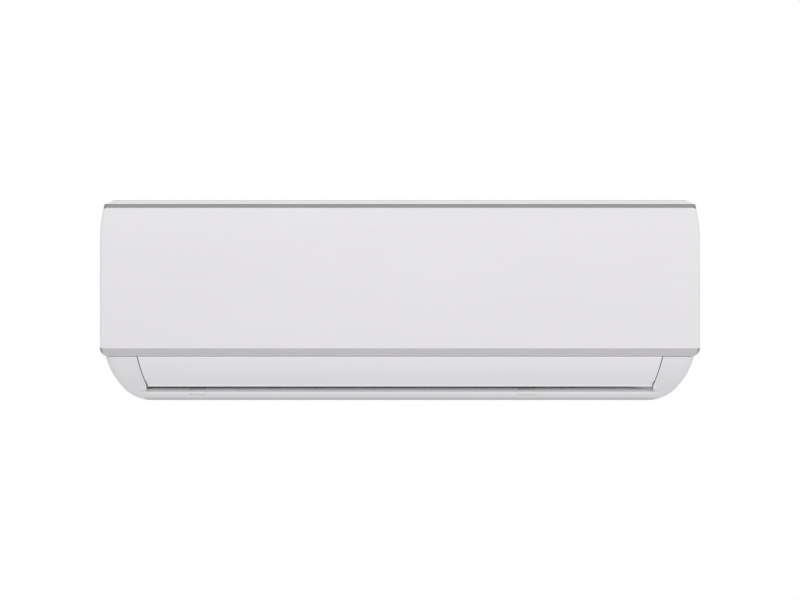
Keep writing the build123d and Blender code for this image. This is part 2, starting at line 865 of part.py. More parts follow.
with BuildPart() as rear_chassis:
    # the rim that closes the casing's open back
    with BuildSketch(front_plane(rim_back)):
        with BuildLine():
            casing_outline(rim_inset)
        make_face()
        with BuildLine():
            casing_outline(rim_inset + rim_wall)
        make_face(mode=Mode.SUBTRACT)
    extrude(amount=casing_back - clear - rim_back)
    with BuildSketch(front_plane(back_recess)):
        with BuildLine():
            casing_outline(casing_wall + clear)
        make_face()
        with BuildLine():
            casing_outline(casing_wall + clear + rim_wall)
        make_face(mode=Mode.SUBTRACT)
    extrude(amount=rim_tuck)
    # the rim stops at the pipe channel
    with BuildSketch(level_plane(-1)):
        with Locations((0, -channel_front / 2)):
            Rectangle(casing_width, channel_front)
    extrude(amount=channel_top - duct_wall + 1, mode=Mode.SUBTRACT)
    # the back wall, set in to clear the mounting plate, with slots for its hooks
    with BuildSketch(front_plane(back_recess)):
        with BuildLine():
            casing_outline(rim_inset + rim_wall / 2)
        make_face()
        with Locations((0, (channel_top - duct_wall) / 2)):
            Rectangle(casing_width, channel_top - duct_wall, mode=Mode.SUBTRACT)
        with Locations((0, plate_high + clear - hook_rise / 2 - 1)):
            with GridLocations(hook_pitch, 1, 3, 1):
                Rectangle(hook_width + 4, hook_rise + 2, mode=Mode.SUBTRACT)
    extrude(amount=duct_wall)
    add(channel_walls.part)
    # openings in the channel's roof for the pipes
    with BuildSketch(level_plane(channel_top - duct_wall - 1)):
        with Locations((riser_x - 9, -riser_depth)):
            Rectangle(56, 22)
    extrude(amount=duct_wall + 2, mode=Mode.SUBTRACT)
    # the bottom plate, in the casing's opening
    with BuildSketch(level_plane(0)):
        with Locations((0, -(channel_front + bottom_seam) / 2)):
            Rectangle(2 * (bottom_half - clear), bottom_seam - channel_front - 2 * clear)
    extrude(amount=bottom_plate)
    # the spiral guide behind the fan, and the outlet floor
    with BuildSketch(side_plane(throat_right)):
        with BuildLine():
            angles = [scroll_start + (scroll_end - scroll_start) * step / 6 for step in range(7)]
            inner = Spline(*[scroll_point(angle, 0) for angle in angles])
            outer = Spline(*[scroll_point(angle, duct_wall) for angle in angles])
            Line(inner @ 0, outer @ 0)
            Line(inner @ 1, outer @ 1)
        make_face()
    extrude(amount=throat_right + throat_left)
    floor_out = shifted((lip_depth - clear, floor_height(lip_depth - clear)), flow_up, -floor_wall)
    add(plate_between(-throat_left, throat_right, [
        scroll_point(scroll_end, 0), (lip_depth - clear, floor_height(lip_depth - clear)),
        floor_out, scroll_point(scroll_end, duct_wall),
    ]))
    add(plate_between(-duct_end_x, duct_end_x, [
        (flare_start, floor_height(flare_start)), (lip_depth - clear, floor_height(lip_depth - clear)),
        floor_out, shifted((flare_start, floor_height(flare_start)), flow_up, -floor_wall),
    ]))
    # a web from the floor down to the bottom plate
    add(plate_between(-bottom_half + 8, bottom_half - 8, [
        (bottom_seam - 4, 1), (bottom_seam - 4, floor_height(floor_start[0]) + 1),
        (bottom_seam - 1.5, 54), (bottom_seam - 1.5, 1),
    ]))
    # the guide's upper end and the drain trough under the rear coil
    guide_top = scroll_point(scroll_start, 0)
    guide_back = scroll_point(scroll_start, duct_wall)
    add(plate_between(-throat_left, throat_right, [
        guide_top, guide_back, (trough_front - duct_wall, rear_trough),
        (trough_front - duct_wall, rear_trough + 8), (trough_front, rear_trough + 8),
        (trough_front, rear_trough),
    ]))
    add(plate_between(-throat_left - 20, throat_right + 24, [
        (back_recess + 1, rear_trough), (trough_front - 1, rear_trough),
        (trough_front - 1, rear_trough + duct_wall), (back_recess + 1, rear_trough + duct_wall),
    ]))
    # side walls at the fan's ends, with seats for the bearing and the shaft
    wall_outline = [
        (back_recess + 1, channel_top - 1), (back_recess + 1, rear_trough), (wall_front, rear_trough),
        (wall_front, wall_step), (flare_start, wall_step), (flare_start, floor_height(flare_start) - 1),
        (floor_start[0], floor_start[1] - 2), (channel_front + 1, channel_top - 1),
    ]
    add(plate_between(-throat_left - duct_wall, -throat_left, wall_outline))
    add(plate_between(throat_right, throat_right + duct_wall, wall_outline))
    with BuildSketch(side_plane(throat_right + 5)):
        with Locations(fan_center):
            Circle(bearing_seat_radius)
    extrude(amount=throat_right + throat_left + 20, mode=Mode.SUBTRACT)
    # saddles under the motor's rubber rings
    for saddle_x in saddles:
        with BuildSketch(side_plane(saddle_x + saddle_width)):
            with Locations(((back_recess + 1 + fan_center[0]) / 2, fan_center[1])):
                Rectangle(fan_center[0] - back_recess - 1, 2 * saddle_half)
            with Locations(fan_center):
                Circle(rubber_ring_radius + 0.1, mode=Mode.SUBTRACT)
            with Locations(((back_recess + fan_center[0]) / 2 - 8, fan_center[1])):
                RectangleRounded(26, 2 * saddle_half - 14, 4, mode=Mode.SUBTRACT)
        extrude(amount=saddle_width)
    # drain nozzles in the pipe channel, one at each end
    with BuildSketch(front_plane(channel_front - nozzle_length)):
        with Locations((-nozzle_x, nozzle_h), (nozzle_x, nozzle_h)):
            Circle(drain_radius)
            Circle(drain_bore, mode=Mode.SUBTRACT)
    extrude(amount=nozzle_length + duct_wall / 2)
    with BuildSketch(front_plane(channel_front - 1)):
        with Locations((-nozzle_x, nozzle_h), (nozzle_x, nozzle_h)):
            Circle(drain_bore)
    extrude(amount=duct_wall + 2, mode=Mode.SUBTRACT)
    # feet that the control box and its panel-side neighbours are screwed to
    with BuildSketch(front_plane(back_recess + duct_wall - 0.5)):
        with Locations((box_left + 20, box_low + 20), (box_left + 20, box_high - 20),
                       (box_right - 20, box_low + 20), (box_right - 20, box_high - 20)):
            Circle(6)
    extrude(amount=box_back - back_recess - duct_wall + 0.5 - clear)
    # pivot holes for the vertical vanes
    for x in vane_positions:
        with BuildSketch(vane_foot_plane(x)):
            Circle(vane_pin_radius + running_fit)
        extrude(amount=-2 * floor_wall, mode=Mode.SUBTRACT)
rear_chassis.part.label = "rear_chassis"
export_step(rear_chassis.part, "parts/rear_chassis.step")


# ---------------------------------------------------------------- outlet duct with the front drain trough

duct_fall = (tongue[1] - outlet_top[1]) / (outlet_top[0] - tongue[0])
with BuildPart() as flares:
    for side, throat in ((-1, throat_left), (1, throat_right)):
        with BuildSketch(level_plane(0)):
            with BuildLine():
                Polyline(
                    (side * (throat + clear), -(flare_start + clear)),
                    (side * duct_end_x, -flare_end),
                    (side * duct_end_x, -flare_end + duct_wall * 1.4),
                    (side * (throat + duct_wall + clear + 1.2), -(flare_start + clear)),
                    close=True,
                )
            make_face()
        extrude(amount=140)
    with BuildSketch(side_plane(casing_width / 2)):
        with BuildLine():
            Polyline(
                (flare_start - 1, floor_height(flare_start - 1) + clear),
                (flare_start - 1, tongue[1] - 1), (tongue[0], tongue[1] + 1),
                (flare_end + 1, tongue[1] + 1 - (flare_end + 1 - tongue[0]) * duct_fall),
                (flare_end + 1, belly_height(flare_end + 1, belly_radius - casing_wall) + 2 * clear),
                (flare_end - 3, floor_height(flare_end - 3) + clear),
                close=True,
            )
        make_face()
    extrude(amount=casing_width, mode=Mode.INTERSECT)

with BuildPart() as outlet_duct:
    # the duct's roof from the tongue to the outlet, the trough above it and the front wall
    add(plate_between(-duct_end_x, duct_end_x, [
        tongue, outlet_top, (outlet_top[0], outlet_top[1] + duct_wall * 1.2),
        (tongue[0] + 1.5, tongue[1] + duct_wall),
    ]))
    add(plate_between(-duct_end_x, duct_end_x, [
        (tongue[0], tongue[1]), (tongue[0] + 1.5, tongue[1] + duct_wall + 1), (trough_rear, trough_floor),
        (trough_rear, wall_step - 6), (trough_rear + duct_wall, wall_step - 6),
        (trough_rear + duct_wall, trough_floor - 4),
    ]))
    add(plate_between(-duct_end_x, duct_end_x, [
        (trough_rear, trough_floor - duct_wall), (trough_nose, trough_floor - duct_wall),
        (trough_nose, trough_rim), (trough_nose - duct_wall, trough_rim),
        (trough_nose - duct_wall, trough_floor), (trough_rear, trough_floor),
    ]))
    add(plate_between(-duct_end_x, duct_end_x, [
        (trough_nose, trough_floor - duct_wall), (outlet_top[0], outlet_top[1] + 2),
        (outlet_top[0] - duct_wall, outlet_top[1] + 2), (trough_nose - duct_wall, trough_floor - duct_wall),
    ]))
    add(flares.part)
    for side in (-1, 1):
        # the duct's end walls, with the louver's bearings
        with BuildSketch(side_plane(side * (duct_end_x + duct_wall / 2) + duct_wall / 2)):
            with BuildLine():
                wall_foot = (belly_reach(22, end_wall_radius), 22)
                Polyline((wall_low_depth, 104), (wall_low_depth, 44), (155, 26), wall_foot)
                RadiusArc(wall_foot, (outlet_top[0], end_wall_knee), -end_wall_radius)
                Polyline((outlet_top[0], end_wall_knee), (outlet_top[0], 72),
                         (trough_nose, 104), (wall_low_depth, 104))
            make_face()
            with Locations(louver_axis):
                Circle(louver_boss_radius)
        extrude(amount=duct_wall)
        boss_low = side * duct_end_x + (0 if side > 0 else -louver_boss_length)
        with BuildSketch(side_plane(boss_low + louver_boss_length)):
            with Locations(louver_axis):
                Circle(louver_boss_radius)
        extrude(amount=louver_boss_length)
    with BuildSketch(side_plane(casing_width / 2)):
        with Locations(louver_axis):
            Circle(louver_pin_radius + running_fit)
    extrude(amount=casing_width, mode=Mode.SUBTRACT)
    # ribs in the trough that the front coil stands on, and end dams
    for x in trough_ribs:
        add(plate_between(x - 1, x + 1, [
            (trough_rear + 1, trough_floor - 1), (trough_nose - 1, trough_floor - 1),
            (trough_nose - 1, coil_front[0][1] - clear), (trough_rear + 1, coil_front[0][1] - clear),
        ]))
    # bosses that the casing's screws bite into
    with BuildSketch(front_plane(trough_nose - 1)):
        with Locations(*[(x, casing_screw_h) for x in casing_screw_x]):
            Circle(4)
    extrude(amount=frame_front - casing_wall - clear - trough_nose + 1)
    with BuildSketch(front_plane(trough_nose + 0.5)):
        with Locations(*[(x, casing_screw_h) for x in casing_screw_x]):
            Circle(1.55)
    extrude(amount=10, mode=Mode.SUBTRACT)
outlet_duct.part.label = "outlet_duct"
export_step(outlet_duct.part, "parts/outlet_duct.step")


# ---------------------------------------------------------------- louver

with BuildPart() as louver_outline:
    with BuildSketch(front_plane(100)) as louver_front:
        with BuildLine():
            outlet_outline(0, 0)
        make_face()
        with Locations((0, louver_top + 20)):
            Rectangle(casing_width, 40, mode=Mode.SUBTRACT)
        with Locations((0, louver_bottom - 20)):
            Rectangle(casing_width, 40, mode=Mode.SUBTRACT)
        fillet(louver_front.vertices(), radius=louver_corner_radius)
    extrude(amount=panel_front - 100)


def arm_reach(h):
    # Where an arm meets the louver's inner side, at a height
    return belly_reach(h, belly_radius - 2)


with BuildPart() as louver:
    with BuildSketch(side_plane(casing_width / 2)):
        with Locations((belly_depth, belly_radius)):
            Circle(belly_radius - louver_recess)
            Circle(belly_radius - louver_recess - louver_thickness, mode=Mode.SUBTRACT)
    extrude(amount=casing_width)
    add(louver_outline.part, mode=Mode.INTERSECT)
    # a stiffening rib along the inside, and the arms that hold the pins
    for side in (-1, 1):
        arm_middle = side * (louver_half_bottom - louver_arm_width / 2 - 1)
        with BuildSketch(side_plane(arm_middle + louver_arm_width / 2)):
            with Locations(louver_axis):
                Circle(louver_boss_radius)
            with BuildLine():
                Line(shifted(louver_axis, (0.73, 0.68), louver_boss_radius), louver_arm_top)
                Line(louver_arm_top, (arm_reach(58), 58))
                RadiusArc((arm_reach(58), 58), (arm_reach(26), 26), belly_radius - 2)
                Line((arm_reach(26), 26), shifted(louver_axis, (0.73, 0.68), louver_boss_radius))
            make_face()
        extrude(amount=louver_arm_width)
        pin_high = louver_pin_end if side > 0 else -louver_half_bottom + 3
        with BuildSketch(side_plane(pin_high)):
            with Locations(louver_axis):
                Circle(louver_pin_radius)
        extrude(amount=louver_pin_end - louver_half_bottom + 3)
louver.part.label = "louver"
export_step(louver.part, "parts/louver.step")


# ---------------------------------------------------------------- vertical vanes and their links

def vane_plane(x):
    # Seen along x: the first axis is along the outlet flow, the second stands square on the floor
    return Plane(
        origin=place(x, (vane_depth, floor_height(vane_depth))),
        x_dir=(0, -flow[0], flow[1]), z_dir=(-1, 0, 0),
    )


link_notch = link_width / cos(radians(vane_swing)) + vane_thickness + 2
for group, first in (("left", 0), ("right", vane_count)):
    for index in range(vane_count):
        x = vane_positions[first + index]
        with BuildPart() as vane:
            with BuildSketch(vane_plane(x)) as blade:
                with Locations(((vane_front - vane_back) / 2, vane_foot + vane_height / 2)):
                    RectangleRounded(vane_front + vane_back, vane_height, 4)
                notch_length = vane_front - link_pin_at + link_notch / 2
                with Locations((vane_front + 5 - (notch_length + 5) / 2, link_level)):
                    Rectangle(notch_length + 5, link_thickness + 2.4, mode=Mode.SUBTRACT)
            extrude(amount=vane_thickness / 2, both=True)
            with BuildSketch(vane_foot_plane(x)):
                Circle(vane_pin_radius)
            extrude(amount=-floor_wall - 1)
            with BuildSketch(vane_foot_plane(x)):
                Circle(vane_pin_radius + 1)
            extrude(amount=vane_foot + 4)
            with BuildSketch(vane_foot_plane(x).offset(vane_foot - 0.3)):
                Circle(vane_pin_radius + 2)
            extrude(amount=1.0)
            with BuildSketch(link_pin_plane(x)):
                Circle(link_pin_radius)
            extrude(amount=link_thickness + 2.8)
        vane.part.label = f"vane_{group}_{index + 1}"
        export_step(vane.part, f"parts/vane_{group}_{index + 1}.step")
    group_x = vane_positions[first:first + vane_count]
    with BuildPart() as vane_link:
        with BuildSketch(link_pin_plane(0).offset(1.2)):
            with Locations(((group_x[0] + group_x[-1]) / 2, 0)):
                SlotOverall(group_x[-1] - group_x[0] + link_width + 2 * link_overhang, link_width)
            with Locations(*[(x, 0) for x in group_x]):
                Circle(link_pin_radius + link_fit, mode=Mode.SUBTRACT)
        extrude(amount=link_thickness)
    vane_link.part.label = f"vane_link_{group}"
    export_step(vane_link.part, f"parts/vane_link_{group}.step")


# ---------------------------------------------------------------- crossflow fan

fan_length = fan_right - fan_left
ring_step = (fan_length - ring_thickness) / (ring_count - 1)

# One blade's section about the fan's axis: a thin strip bowed forward
with BuildSketch() as blade_profile:
    with BuildLine():
        blade_reach = fan_radius - blade_thickness / 2
        SagittaArc(
            (blade_inner_radius - 1, 0),
            (blade_reach * cos(radians(blade_sweep)), blade_reach * sin(radians(blade_sweep))), blade_bulge
        )
    trace(line_width=blade_thickness)

with BuildPart() as crossflow_fan:
    with BuildSketch(side_plane(fan_right)):
        with Locations(fan_center):
            with PolarLocations(0, blade_count):
                add(blade_profile.sketch)
    extrude(amount=fan_length)
    for index in range(ring_count):
        ring_x = fan_right - index * ring_step
        with BuildSketch(side_plane(ring_x)):
            with Locations(fan_center):
                Circle(fan_radius)
                if 0 < index < ring_count - 1:
                    Circle(blade_inner_radius - 2, mode=Mode.SUBTRACT)
        extrude(amount=ring_thickness)
    # hubs in the end discs, bored for the motor's shaft and for the stub shaft
    for hub_x, bore_depth in ((fan_right, hub_length), (fan_left + stub_hub_length, stub_hub_length)):
        with BuildSketch(side_plane(hub_x)):
            with Locations(fan_center):
                Circle(fan_hub_radius)
        extrude(amount=bore_depth)
        with BuildSketch(side_plane(hub_x + 1)):
            with Locations(fan_center):
                Circle(shaft_radius + running_fit)
        extrude(amount=bore_depth + 1, mode=Mode.SUBTRACT)
    # the grub screw's radial hole in the motor-side hub
    with BuildSketch(level_plane(fan_center[1] + shaft_radius)):
        with Locations((fan_right - screw_inset, -fan_center[0])):
            Circle(screw_radius + running_fit)
    extrude(amount=fan_hub_radius, mode=Mode.SUBTRACT)
crossflow_fan.part.label = "crossflow_fan"
export_step(crossflow_fan.part, "parts/crossflow_fan.step")

with BuildPart() as fan_screw:
    with BuildSketch(level_plane(fan_center[1] + shaft_radius + clear)):
        with Locations((fan_right - screw_inset, -fan_center[0])):
            Circle(screw_radius)
    extrude(amount=fan_hub_radius - shaft_radius - 1)
    with BuildSketch(level_plane(fan_center[1] + fan_hub_radius - 2)):
        with Locations((fan_right - screw_inset, -fan_center[0])):
            RegularPolygon(1.25, 6)
    extrude(amount=4, mode=Mode.SUBTRACT)
fan_screw.part.label = "fan_screw"
export_step(fan_screw.part, "parts/fan_screw.step")

# The stub shaft at the left end, in its bush and rubber holder
stub_left = -throat_left - duct_wall - 2
with BuildPart() as fan_stub_shaft:
    with BuildSketch(side_plane(fan_left + stub_hub_length)):
        with Locations(fan_center):
            Circle(shaft_radius)
    extrude(amount=fan_left + stub_hub_length - stub_left)
    chamfer(fan_stub_shaft.edges().filter_by(GeomType.CIRCLE), length=0.5)
fan_stub_shaft.part.label = "fan_stub_shaft"
export_step(fan_stub_shaft.part, "parts/fan_stub_shaft.step")

with BuildPart() as fan_bearing:
    with BuildSketch(side_plane(-throat_left + 0.5)):
        with Locations(fan_center):
            Circle(bush_radius)
            Circle(shaft_radius + running_fit, mode=Mode.SUBTRACT)
    extrude(amount=bush_length)
fan_bearing.part.label = "fan_bearing"
export_step(fan_bearing.part, "parts/fan_bearing.step")

with BuildPart() as bearing_holder:
    with BuildSketch(side_plane(-throat_left)):
        with Locations(fan_center):
            Circle(bearing_seat_radius - 0.1)
            Circle(bush_radius + 0.05, mode=Mode.SUBTRACT)
    extrude(amount=duct_wall)
    with BuildSketch(side_plane(-throat_left - duct_wall - 0.1)):
        with Locations(fan_center):
            Circle(bearing_seat_radius + 3)
            Circle(bush_radius + 0.05, mode=Mode.SUBTRACT)
    extrude(amount=1.5)
    with BuildSketch(side_plane(-throat_left - duct_wall + 0.5)):
        with Locations(fan_center):
            Circle(bearing_seat_radius - 0.1)
            Circle(bush_radius + 0.05, mode=Mode.SUBTRACT)
    extrude(amount=1.5)
bearing_holder.part.label = "bearing_holder"
export_step(bearing_holder.part, "parts/bearing_holder.step")


# ---------------------------------------------------------------- fan motor

motor_right = motor_left + motor_length
with BuildPart() as fan_motor:
    with BuildSketch(side_plane(motor_right)):
        with Locations(fan_center):
            Circle(motor_radius)
    extrude(amount=motor_length)
    fillet(fan_motor.edges().filter_by(GeomType.CIRCLE), radius=6)
    with BuildSketch(side_plane(motor_left + motor_length / 2 + 2)):
        with Locations(fan_center):
            Circle(motor_radius + 2)
    extrude(amount=4)
    with BuildSketch(side_plane(motor_right + motor_boss_length)):
        with Locations(fan_center):
            Circle(motor_boss_radius)
    extrude(amount=motor_length + 2 * motor_boss_length)
    with BuildSketch(side_plane(motor_left + 14)):
        with Locations(fan_center):
            Circle(shaft_radius + running_fit)
    extrude(amount=30, mode=Mode.SUBTRACT)
fan_motor.part.label = "fan_motor"
export_step(fan_motor.part, "parts/fan_motor.step")

with BuildPart() as motor_shaft:
    with BuildSketch(side_plane(motor_left + 13.5)):
        with Locations(fan_center):
            Circle(shaft_radius)
    extrude(amount=motor_left + 13.5 - fan_right + hub_length)
    chamfer(motor_shaft.edges().filter_by(GeomType.CIRCLE), length=0.5)
motor_shaft.part.label = "motor_shaft"
export_step(motor_shaft.part, "parts/motor_shaft.step")

with BuildPart() as motor_rubber_rings:
    for ring_x in (motor_left - 0.2, motor_right + motor_boss_length - 0.2):
        with BuildSketch(side_plane(ring_x)):
            with Locations(fan_center):
                Circle(rubber_ring_radius)
                Circle(motor_boss_radius + 0.05, mode=Mode.SUBTRACT)
        extrude(amount=motor_boss_length - 0.4)
motor_rubber_rings.part.label = "motor_rubber_rings"
export_step(motor_rubber_rings.part, "parts/motor_rubber_rings.step")

# The cover that clamps the motor's rings against the saddles from the front
with BuildPart() as motor_cover:
    with BuildSketch(side_plane(saddles[1] + saddle_width)):
        with Locations(fan_center):
            Circle(cover_radius + 2)
            Circle(cover_radius, mode=Mode.SUBTRACT)
        with Locations((fan_center[0] - 60 + clear, fan_center[1])):
            Rectangle(120, 120, mode=Mode.SUBTRACT)
    extrude(amount=saddles[1] + saddle_width - saddles[0])
    for saddle_x in saddles:
        with BuildSketch(side_plane(saddle_x + saddle_width)):
            with Locations(fan_center):
                Circle(cover_radius + 1)
                Circle(rubber_ring_radius + 0.1, mode=Mode.SUBTRACT)
            with Locations((fan_center[0] - 60 + clear, fan_center[1])):
                Rectangle(120, 120, mode=Mode.SUBTRACT)
        extrude(amount=saddle_width)
    # slots that let the motor's warmth out
    with BuildSketch(front_plane(fan_center[0] + cover_radius - 14)):
        with Locations((motor_left + motor_length / 2, fan_center[1])):
            with GridLocations(12, 1, 5, 1):
                SlotOverall(40, 5, rotation=90)
    extrude(amount=30, mode=Mode.SUBTRACT)
motor_cover.part.label = "motor_cover"
export_step(motor_cover.part, "parts/motor_cover.step")


# ---------------------------------------------------------------- evaporator

def coil_tubes(block):
    # Centres of one fin block's tubes in the side view, row by row
    (start, end) = block
    length = hypot(end[0] - start[0], end[1] - start[1])
    along = ((end[0] - start[0]) / length, (end[1] - start[1]) / length)
    across = (along[1], -along[0])
    rows = []
    for row in (0, 1):
        offset = (row - 0.5) * row_spacing
        line = []
        for index in range(tubes_per_row):
            at = length * (index + 0.35 + 0.3 * row) / tubes_per_row
            line.append(shifted(shifted(start, along, at), across, offset))
        rows.append(line)
    return rows


def coil_section(block, margin):
    # A fin block's rectangle in the side view, with an added margin
    (start, end) = block
    length = hypot(end[0] - start[0], end[1] - start[1])
    along = ((end[0] - start[0]) / length, (end[1] - start[1]) / length)
    across = (along[1], -along[0])
    half = coil_thickness / 2 + margin
    low = shifted(start, along, -margin)
    high = shifted(end, along, margin)
    return (
        shifted(low, across, -half), shifted(low, across, half),
        shifted(high, across, half), shifted(high, across, -half),
    )


coils = {"front": coil_front, "upper": coil_upper, "rear": coil_rear}
for name, block in coils.items():
    with BuildPart() as fins:
        with BuildSketch(side_plane(coil_right)):
            with BuildLine():
                Polyline(*coil_section(block, 0), close=True)
            make_face()
            for row in coil_tubes(block):
                with Locations(*row):
                    Circle(tube_radius + tube_fit, mode=Mode.SUBTRACT)
        extrude(amount=coil_right - coil_left)
    fins.part.label = f"evaporator_fins_{name}"
    export_step(fins.part, f"parts/evaporator_fins_{name}.step")

with BuildPart() as evaporator_end_plates:
    for plate_x in (coil_left, coil_right + end_plate):
        for block in coils.values():
            with BuildSketch(side_plane(plate_x)):
                with BuildLine():
                    Polyline(*coil_section(block, -0.2), close=True)
                make_face()
                for row in coil_tubes(block):
                    with Locations(*row):
                        Circle(tube_radius + tube_fit, mode=Mode.SUBTRACT)
            extrude(amount=end_plate)
evaporator_end_plates.part.label = "evaporator_end_plates"
export_step(evaporator_end_plates.part, "parts/evaporator_end_plates.step")


def tube_bend(first, second, x_start, x_turn):
    # A round bend of tube: straight from x_start to x_turn, half a turn, and straight back
    middle = ((first[0] + second[0]) / 2, (first[1] + second[1]) / 2)
    reach = hypot(first[0] - second[0], first[1] - second[1]) / 2
    turn = reach if x_turn > x_start else -reach
    with BuildPart() as bend:
        with BuildLine() as path:
            Line(place(x_start, first), place(x_turn, first))
            ThreePointArc(place(x_turn, first), place(x_turn + turn, middle), place(x_turn, second))
            Line(place(x_turn, second), place(x_start, second))
        with BuildSketch(Plane(origin=place(x_start, first), z_dir=(1 if x_turn > x_start else -1, 0, 0))):
            Circle(tube_radius)
            Circle(tube_bore, mode=Mode.SUBTRACT)
        sweep(path=path.wires()[0])
    return bend.part


tube_end = coil_right + end_plate + tube_stub
rows = [coil_tubes(coil_rear), coil_tubes(coil_upper), coil_tubes(coil_front)]
with BuildPart() as hairpin_tubes:
    for block_rows in rows:
        for line in block_rows:
            for pair in range(0, tubes_per_row, 2):
                add(tube_bend(line[pair], line[pair + 1], tube_end, coil_left - end_plate - 2))
hairpin_tubes.part.label = "hairpin_tubes"
export_step(hairpin_tubes.part, "parts/hairpin_tubes.step")

with BuildPart() as return_bends:
    for row in (0, 1):
        (rear_line, upper_line, front_line) = (rows[0][row], rows[1][row], rows[2][row])
        for line in (rear_line, upper_line, front_line):
            add(tube_bend(line[1], line[2], tube_end, tube_end + 3))
        add(tube_bend(rear_line[0], upper_line[-1], tube_end, tube_end + 3))
        add(tube_bend(upper_line[0], front_line[-1], tube_end, tube_end + 3))
    add(tube_bend(rows[2][0][0], rows[2][1][0], tube_end, tube_end + 3))
return_bends.part.label = "return_bends"
export_step(return_bends.part, "parts/return_bends.step")


# ---------------------------------------------------------------- refrigerant pipes

def pipe(points, radius, bend_radius, wall):
    # A pipe along straight runs joined by bends of one radius
    with BuildPart() as tube:
        with BuildLine() as path:
            FilletPolyline(*points, radius=bend_radius)
        start = path.line @ 0
        with BuildSketch(Plane(origin=start, z_dir=path.line % 0)):
            Circle(radius)
            Circle(radius - wall, mode=Mode.SUBTRACT)
        sweep(path=path.wires()[0])
    return tube.part


gas_depth = riser_depth - 2
rear_ends = (rows[0][0][-1], rows[0][1][-1])
with BuildPart() as gas_pipe:
    add(pipe([
        place(tube_end, rear_ends[1]), place(riser_x, rear_ends[1]),
        place(riser_x, (gas_depth, rear_ends[1][1] - 30)),
        place(riser_x, (gas_depth, gas_level)), place(stub_x, (gas_depth, gas_level)),
    ], gas_pipe_radius, 14, pipe_wall))
gas_pipe.part.label = "gas_pipe"
export_step(gas_pipe.part, "parts/gas_pipe.step")

with BuildPart() as liquid_pipe:
    add(pipe([
        place(tube_end, rear_ends[0]), place(riser_x - 18, rear_ends[0]),
        place(riser_x - 18, (riser_depth, rear_ends[0][1] - 34)),
        place(riser_x - 18, (riser_depth, liquid_level)), place(stub_x, (riser_depth, liquid_level)),
    ], liquid_pipe_radius, 9, pipe_wall))
liquid_pipe.part.label = "liquid_pipe"
export_step(liquid_pipe.part, "parts/liquid_pipe.step")

# Flare unions on the ends of the pipes, each with its nut
with BuildPart() as flare_unions:
    for radius, level, depth, nut, union in (
        (gas_pipe_radius, gas_level, gas_depth, gas_nut, gas_union),
        (liquid_pipe_radius, liquid_level, riser_depth, liquid_nut, liquid_union),
    ):
        with BuildSketch(side_plane(stub_x + nut_length)):
            with Locations((depth, level)):
                RegularPolygon(nut, 6, major_radius=False)
                Circle(radius + running_fit, mode=Mode.SUBTRACT)
        extrude(amount=nut_length - 0.1)
        with BuildSketch(side_plane(stub_x - 0.1)):
            with Locations((depth, level)):
                Circle(union)
                Circle(radius - pipe_wall, mode=Mode.SUBTRACT)
        extrude(amount=thread_length)
flare_unions.part.label = "flare_unions"
export_step(flare_unions.part, "parts/flare_unions.step")


# ---------------------------------------------------------------- filters

filter_path = [
    (filter_depth, filter_bottom), (filter_depth, filter_bend),
    (filter_top_bend, filter_top), (filter_back, filter_top),
]


def filter_strip(x_low, x_high, thickness, trim):
    # A curved strip along the filter's path, from x_low to x_high
    with BuildPart() as strip:
        with BuildSketch(side_plane(x_high)):
            with BuildLine() as path:
                FilletPolyline(
                    (filter_path[0][0], filter_path[0][1] + trim), filter_path[1], filter_path[2],
                    (filter_path[3][0] + trim, filter_path[3][1]), radius=filter_bend_radius,
                )
            trace(line_width=thickness)
        extrude(amount=x_high - x_low)
    return strip.part


for name, middle in (("left", filter_x[0]), ("right", filter_x[1])):
    low = middle - filter_width / 2
    high = middle + filter_width / 2
    with BuildPart() as air_filter:
        add(filter_strip(low, high, filter_net, 1))
        for edge_x in (low, high - filter_border):
            add(filter_strip(edge_x, edge_x + filter_border, filter_frame, 0))
        for rib_x in (middle - filter_width / 6, middle + filter_width / 6):
            add(filter_strip(rib_x - filter_rib / 2, rib_x + filter_rib / 2, filter_frame, 0))
        with BuildSketch(side_plane(high)):
            for bar in filter_bars:
                with Locations(bar[:2]):
                    Rectangle(filter_frame, bar[2], rotation=bar[3])
        extrude(amount=high - low)
        # the handle that the filter is drawn out by
        with BuildSketch(level_plane(filter_bottom)):
            with Locations((middle, -(filter_depth + filter_handle_reach / 2))):
                RectangleRounded(filter_handle, filter_handle_reach, 3)
        extrude(amount=2)
        with BuildSketch(level_plane(filter_bottom)):
            with Locations((middle, -(filter_depth + filter_handle_reach - 1.5))):
                Rectangle(filter_handle - 8, 2)
        extrude(amount=8)
    air_filter.part.label = f"air_filter_{name}"
    export_step(air_filter.part, f"parts/air_filter_{name}.step")


# ---------------------------------------------------------------- control box and boards

box_x = (box_left + box_right) / 2
box_d = (box_back + box_front) / 2
box_h = (box_low + box_high) / 2
board_x = box_right - box_wall - board_standoff
with BuildPart() as control_box:
    with BuildSketch(front_plane(box_back)):
        with Locations((box_x, box_h)):
            RectangleRounded(box_right - box_left, box_high - box_low, 3)
    extrude(amount=box_front - box_back)
    with BuildSketch(front_plane(box_back + box_wall)):
        with Locations((box_x, box_h)):
            RectangleRounded(box_right - box_left - 2 * box_wall, box_high - box_low - 2 * box_wall, 2)
    extrude(amount=box_front - box_back, mode=Mode.SUBTRACT)
    # pillars that hold the main board off the box's outer wall
    with BuildSketch(side_plane(box_right - 1)):
        with Locations((box_d, box_h)):
            with GridLocations(board_depth - 16, board_height - 16, 2, 2):
                Circle(3.5)
    extrude(amount=box_right - 1 - board_x)
    # the leads' notch toward the fan motor
    with BuildSketch(side_plane(box_left + box_wall + 1)):
        with Locations((box_front - 8, box_low + 40)):
            Rectangle(18, 16)
    extrude(amount=box_wall + 2, mode=Mode.SUBTRACT)
control_box.part.label = "control_box"
export_step(control_box.part, "parts/control_box.step")

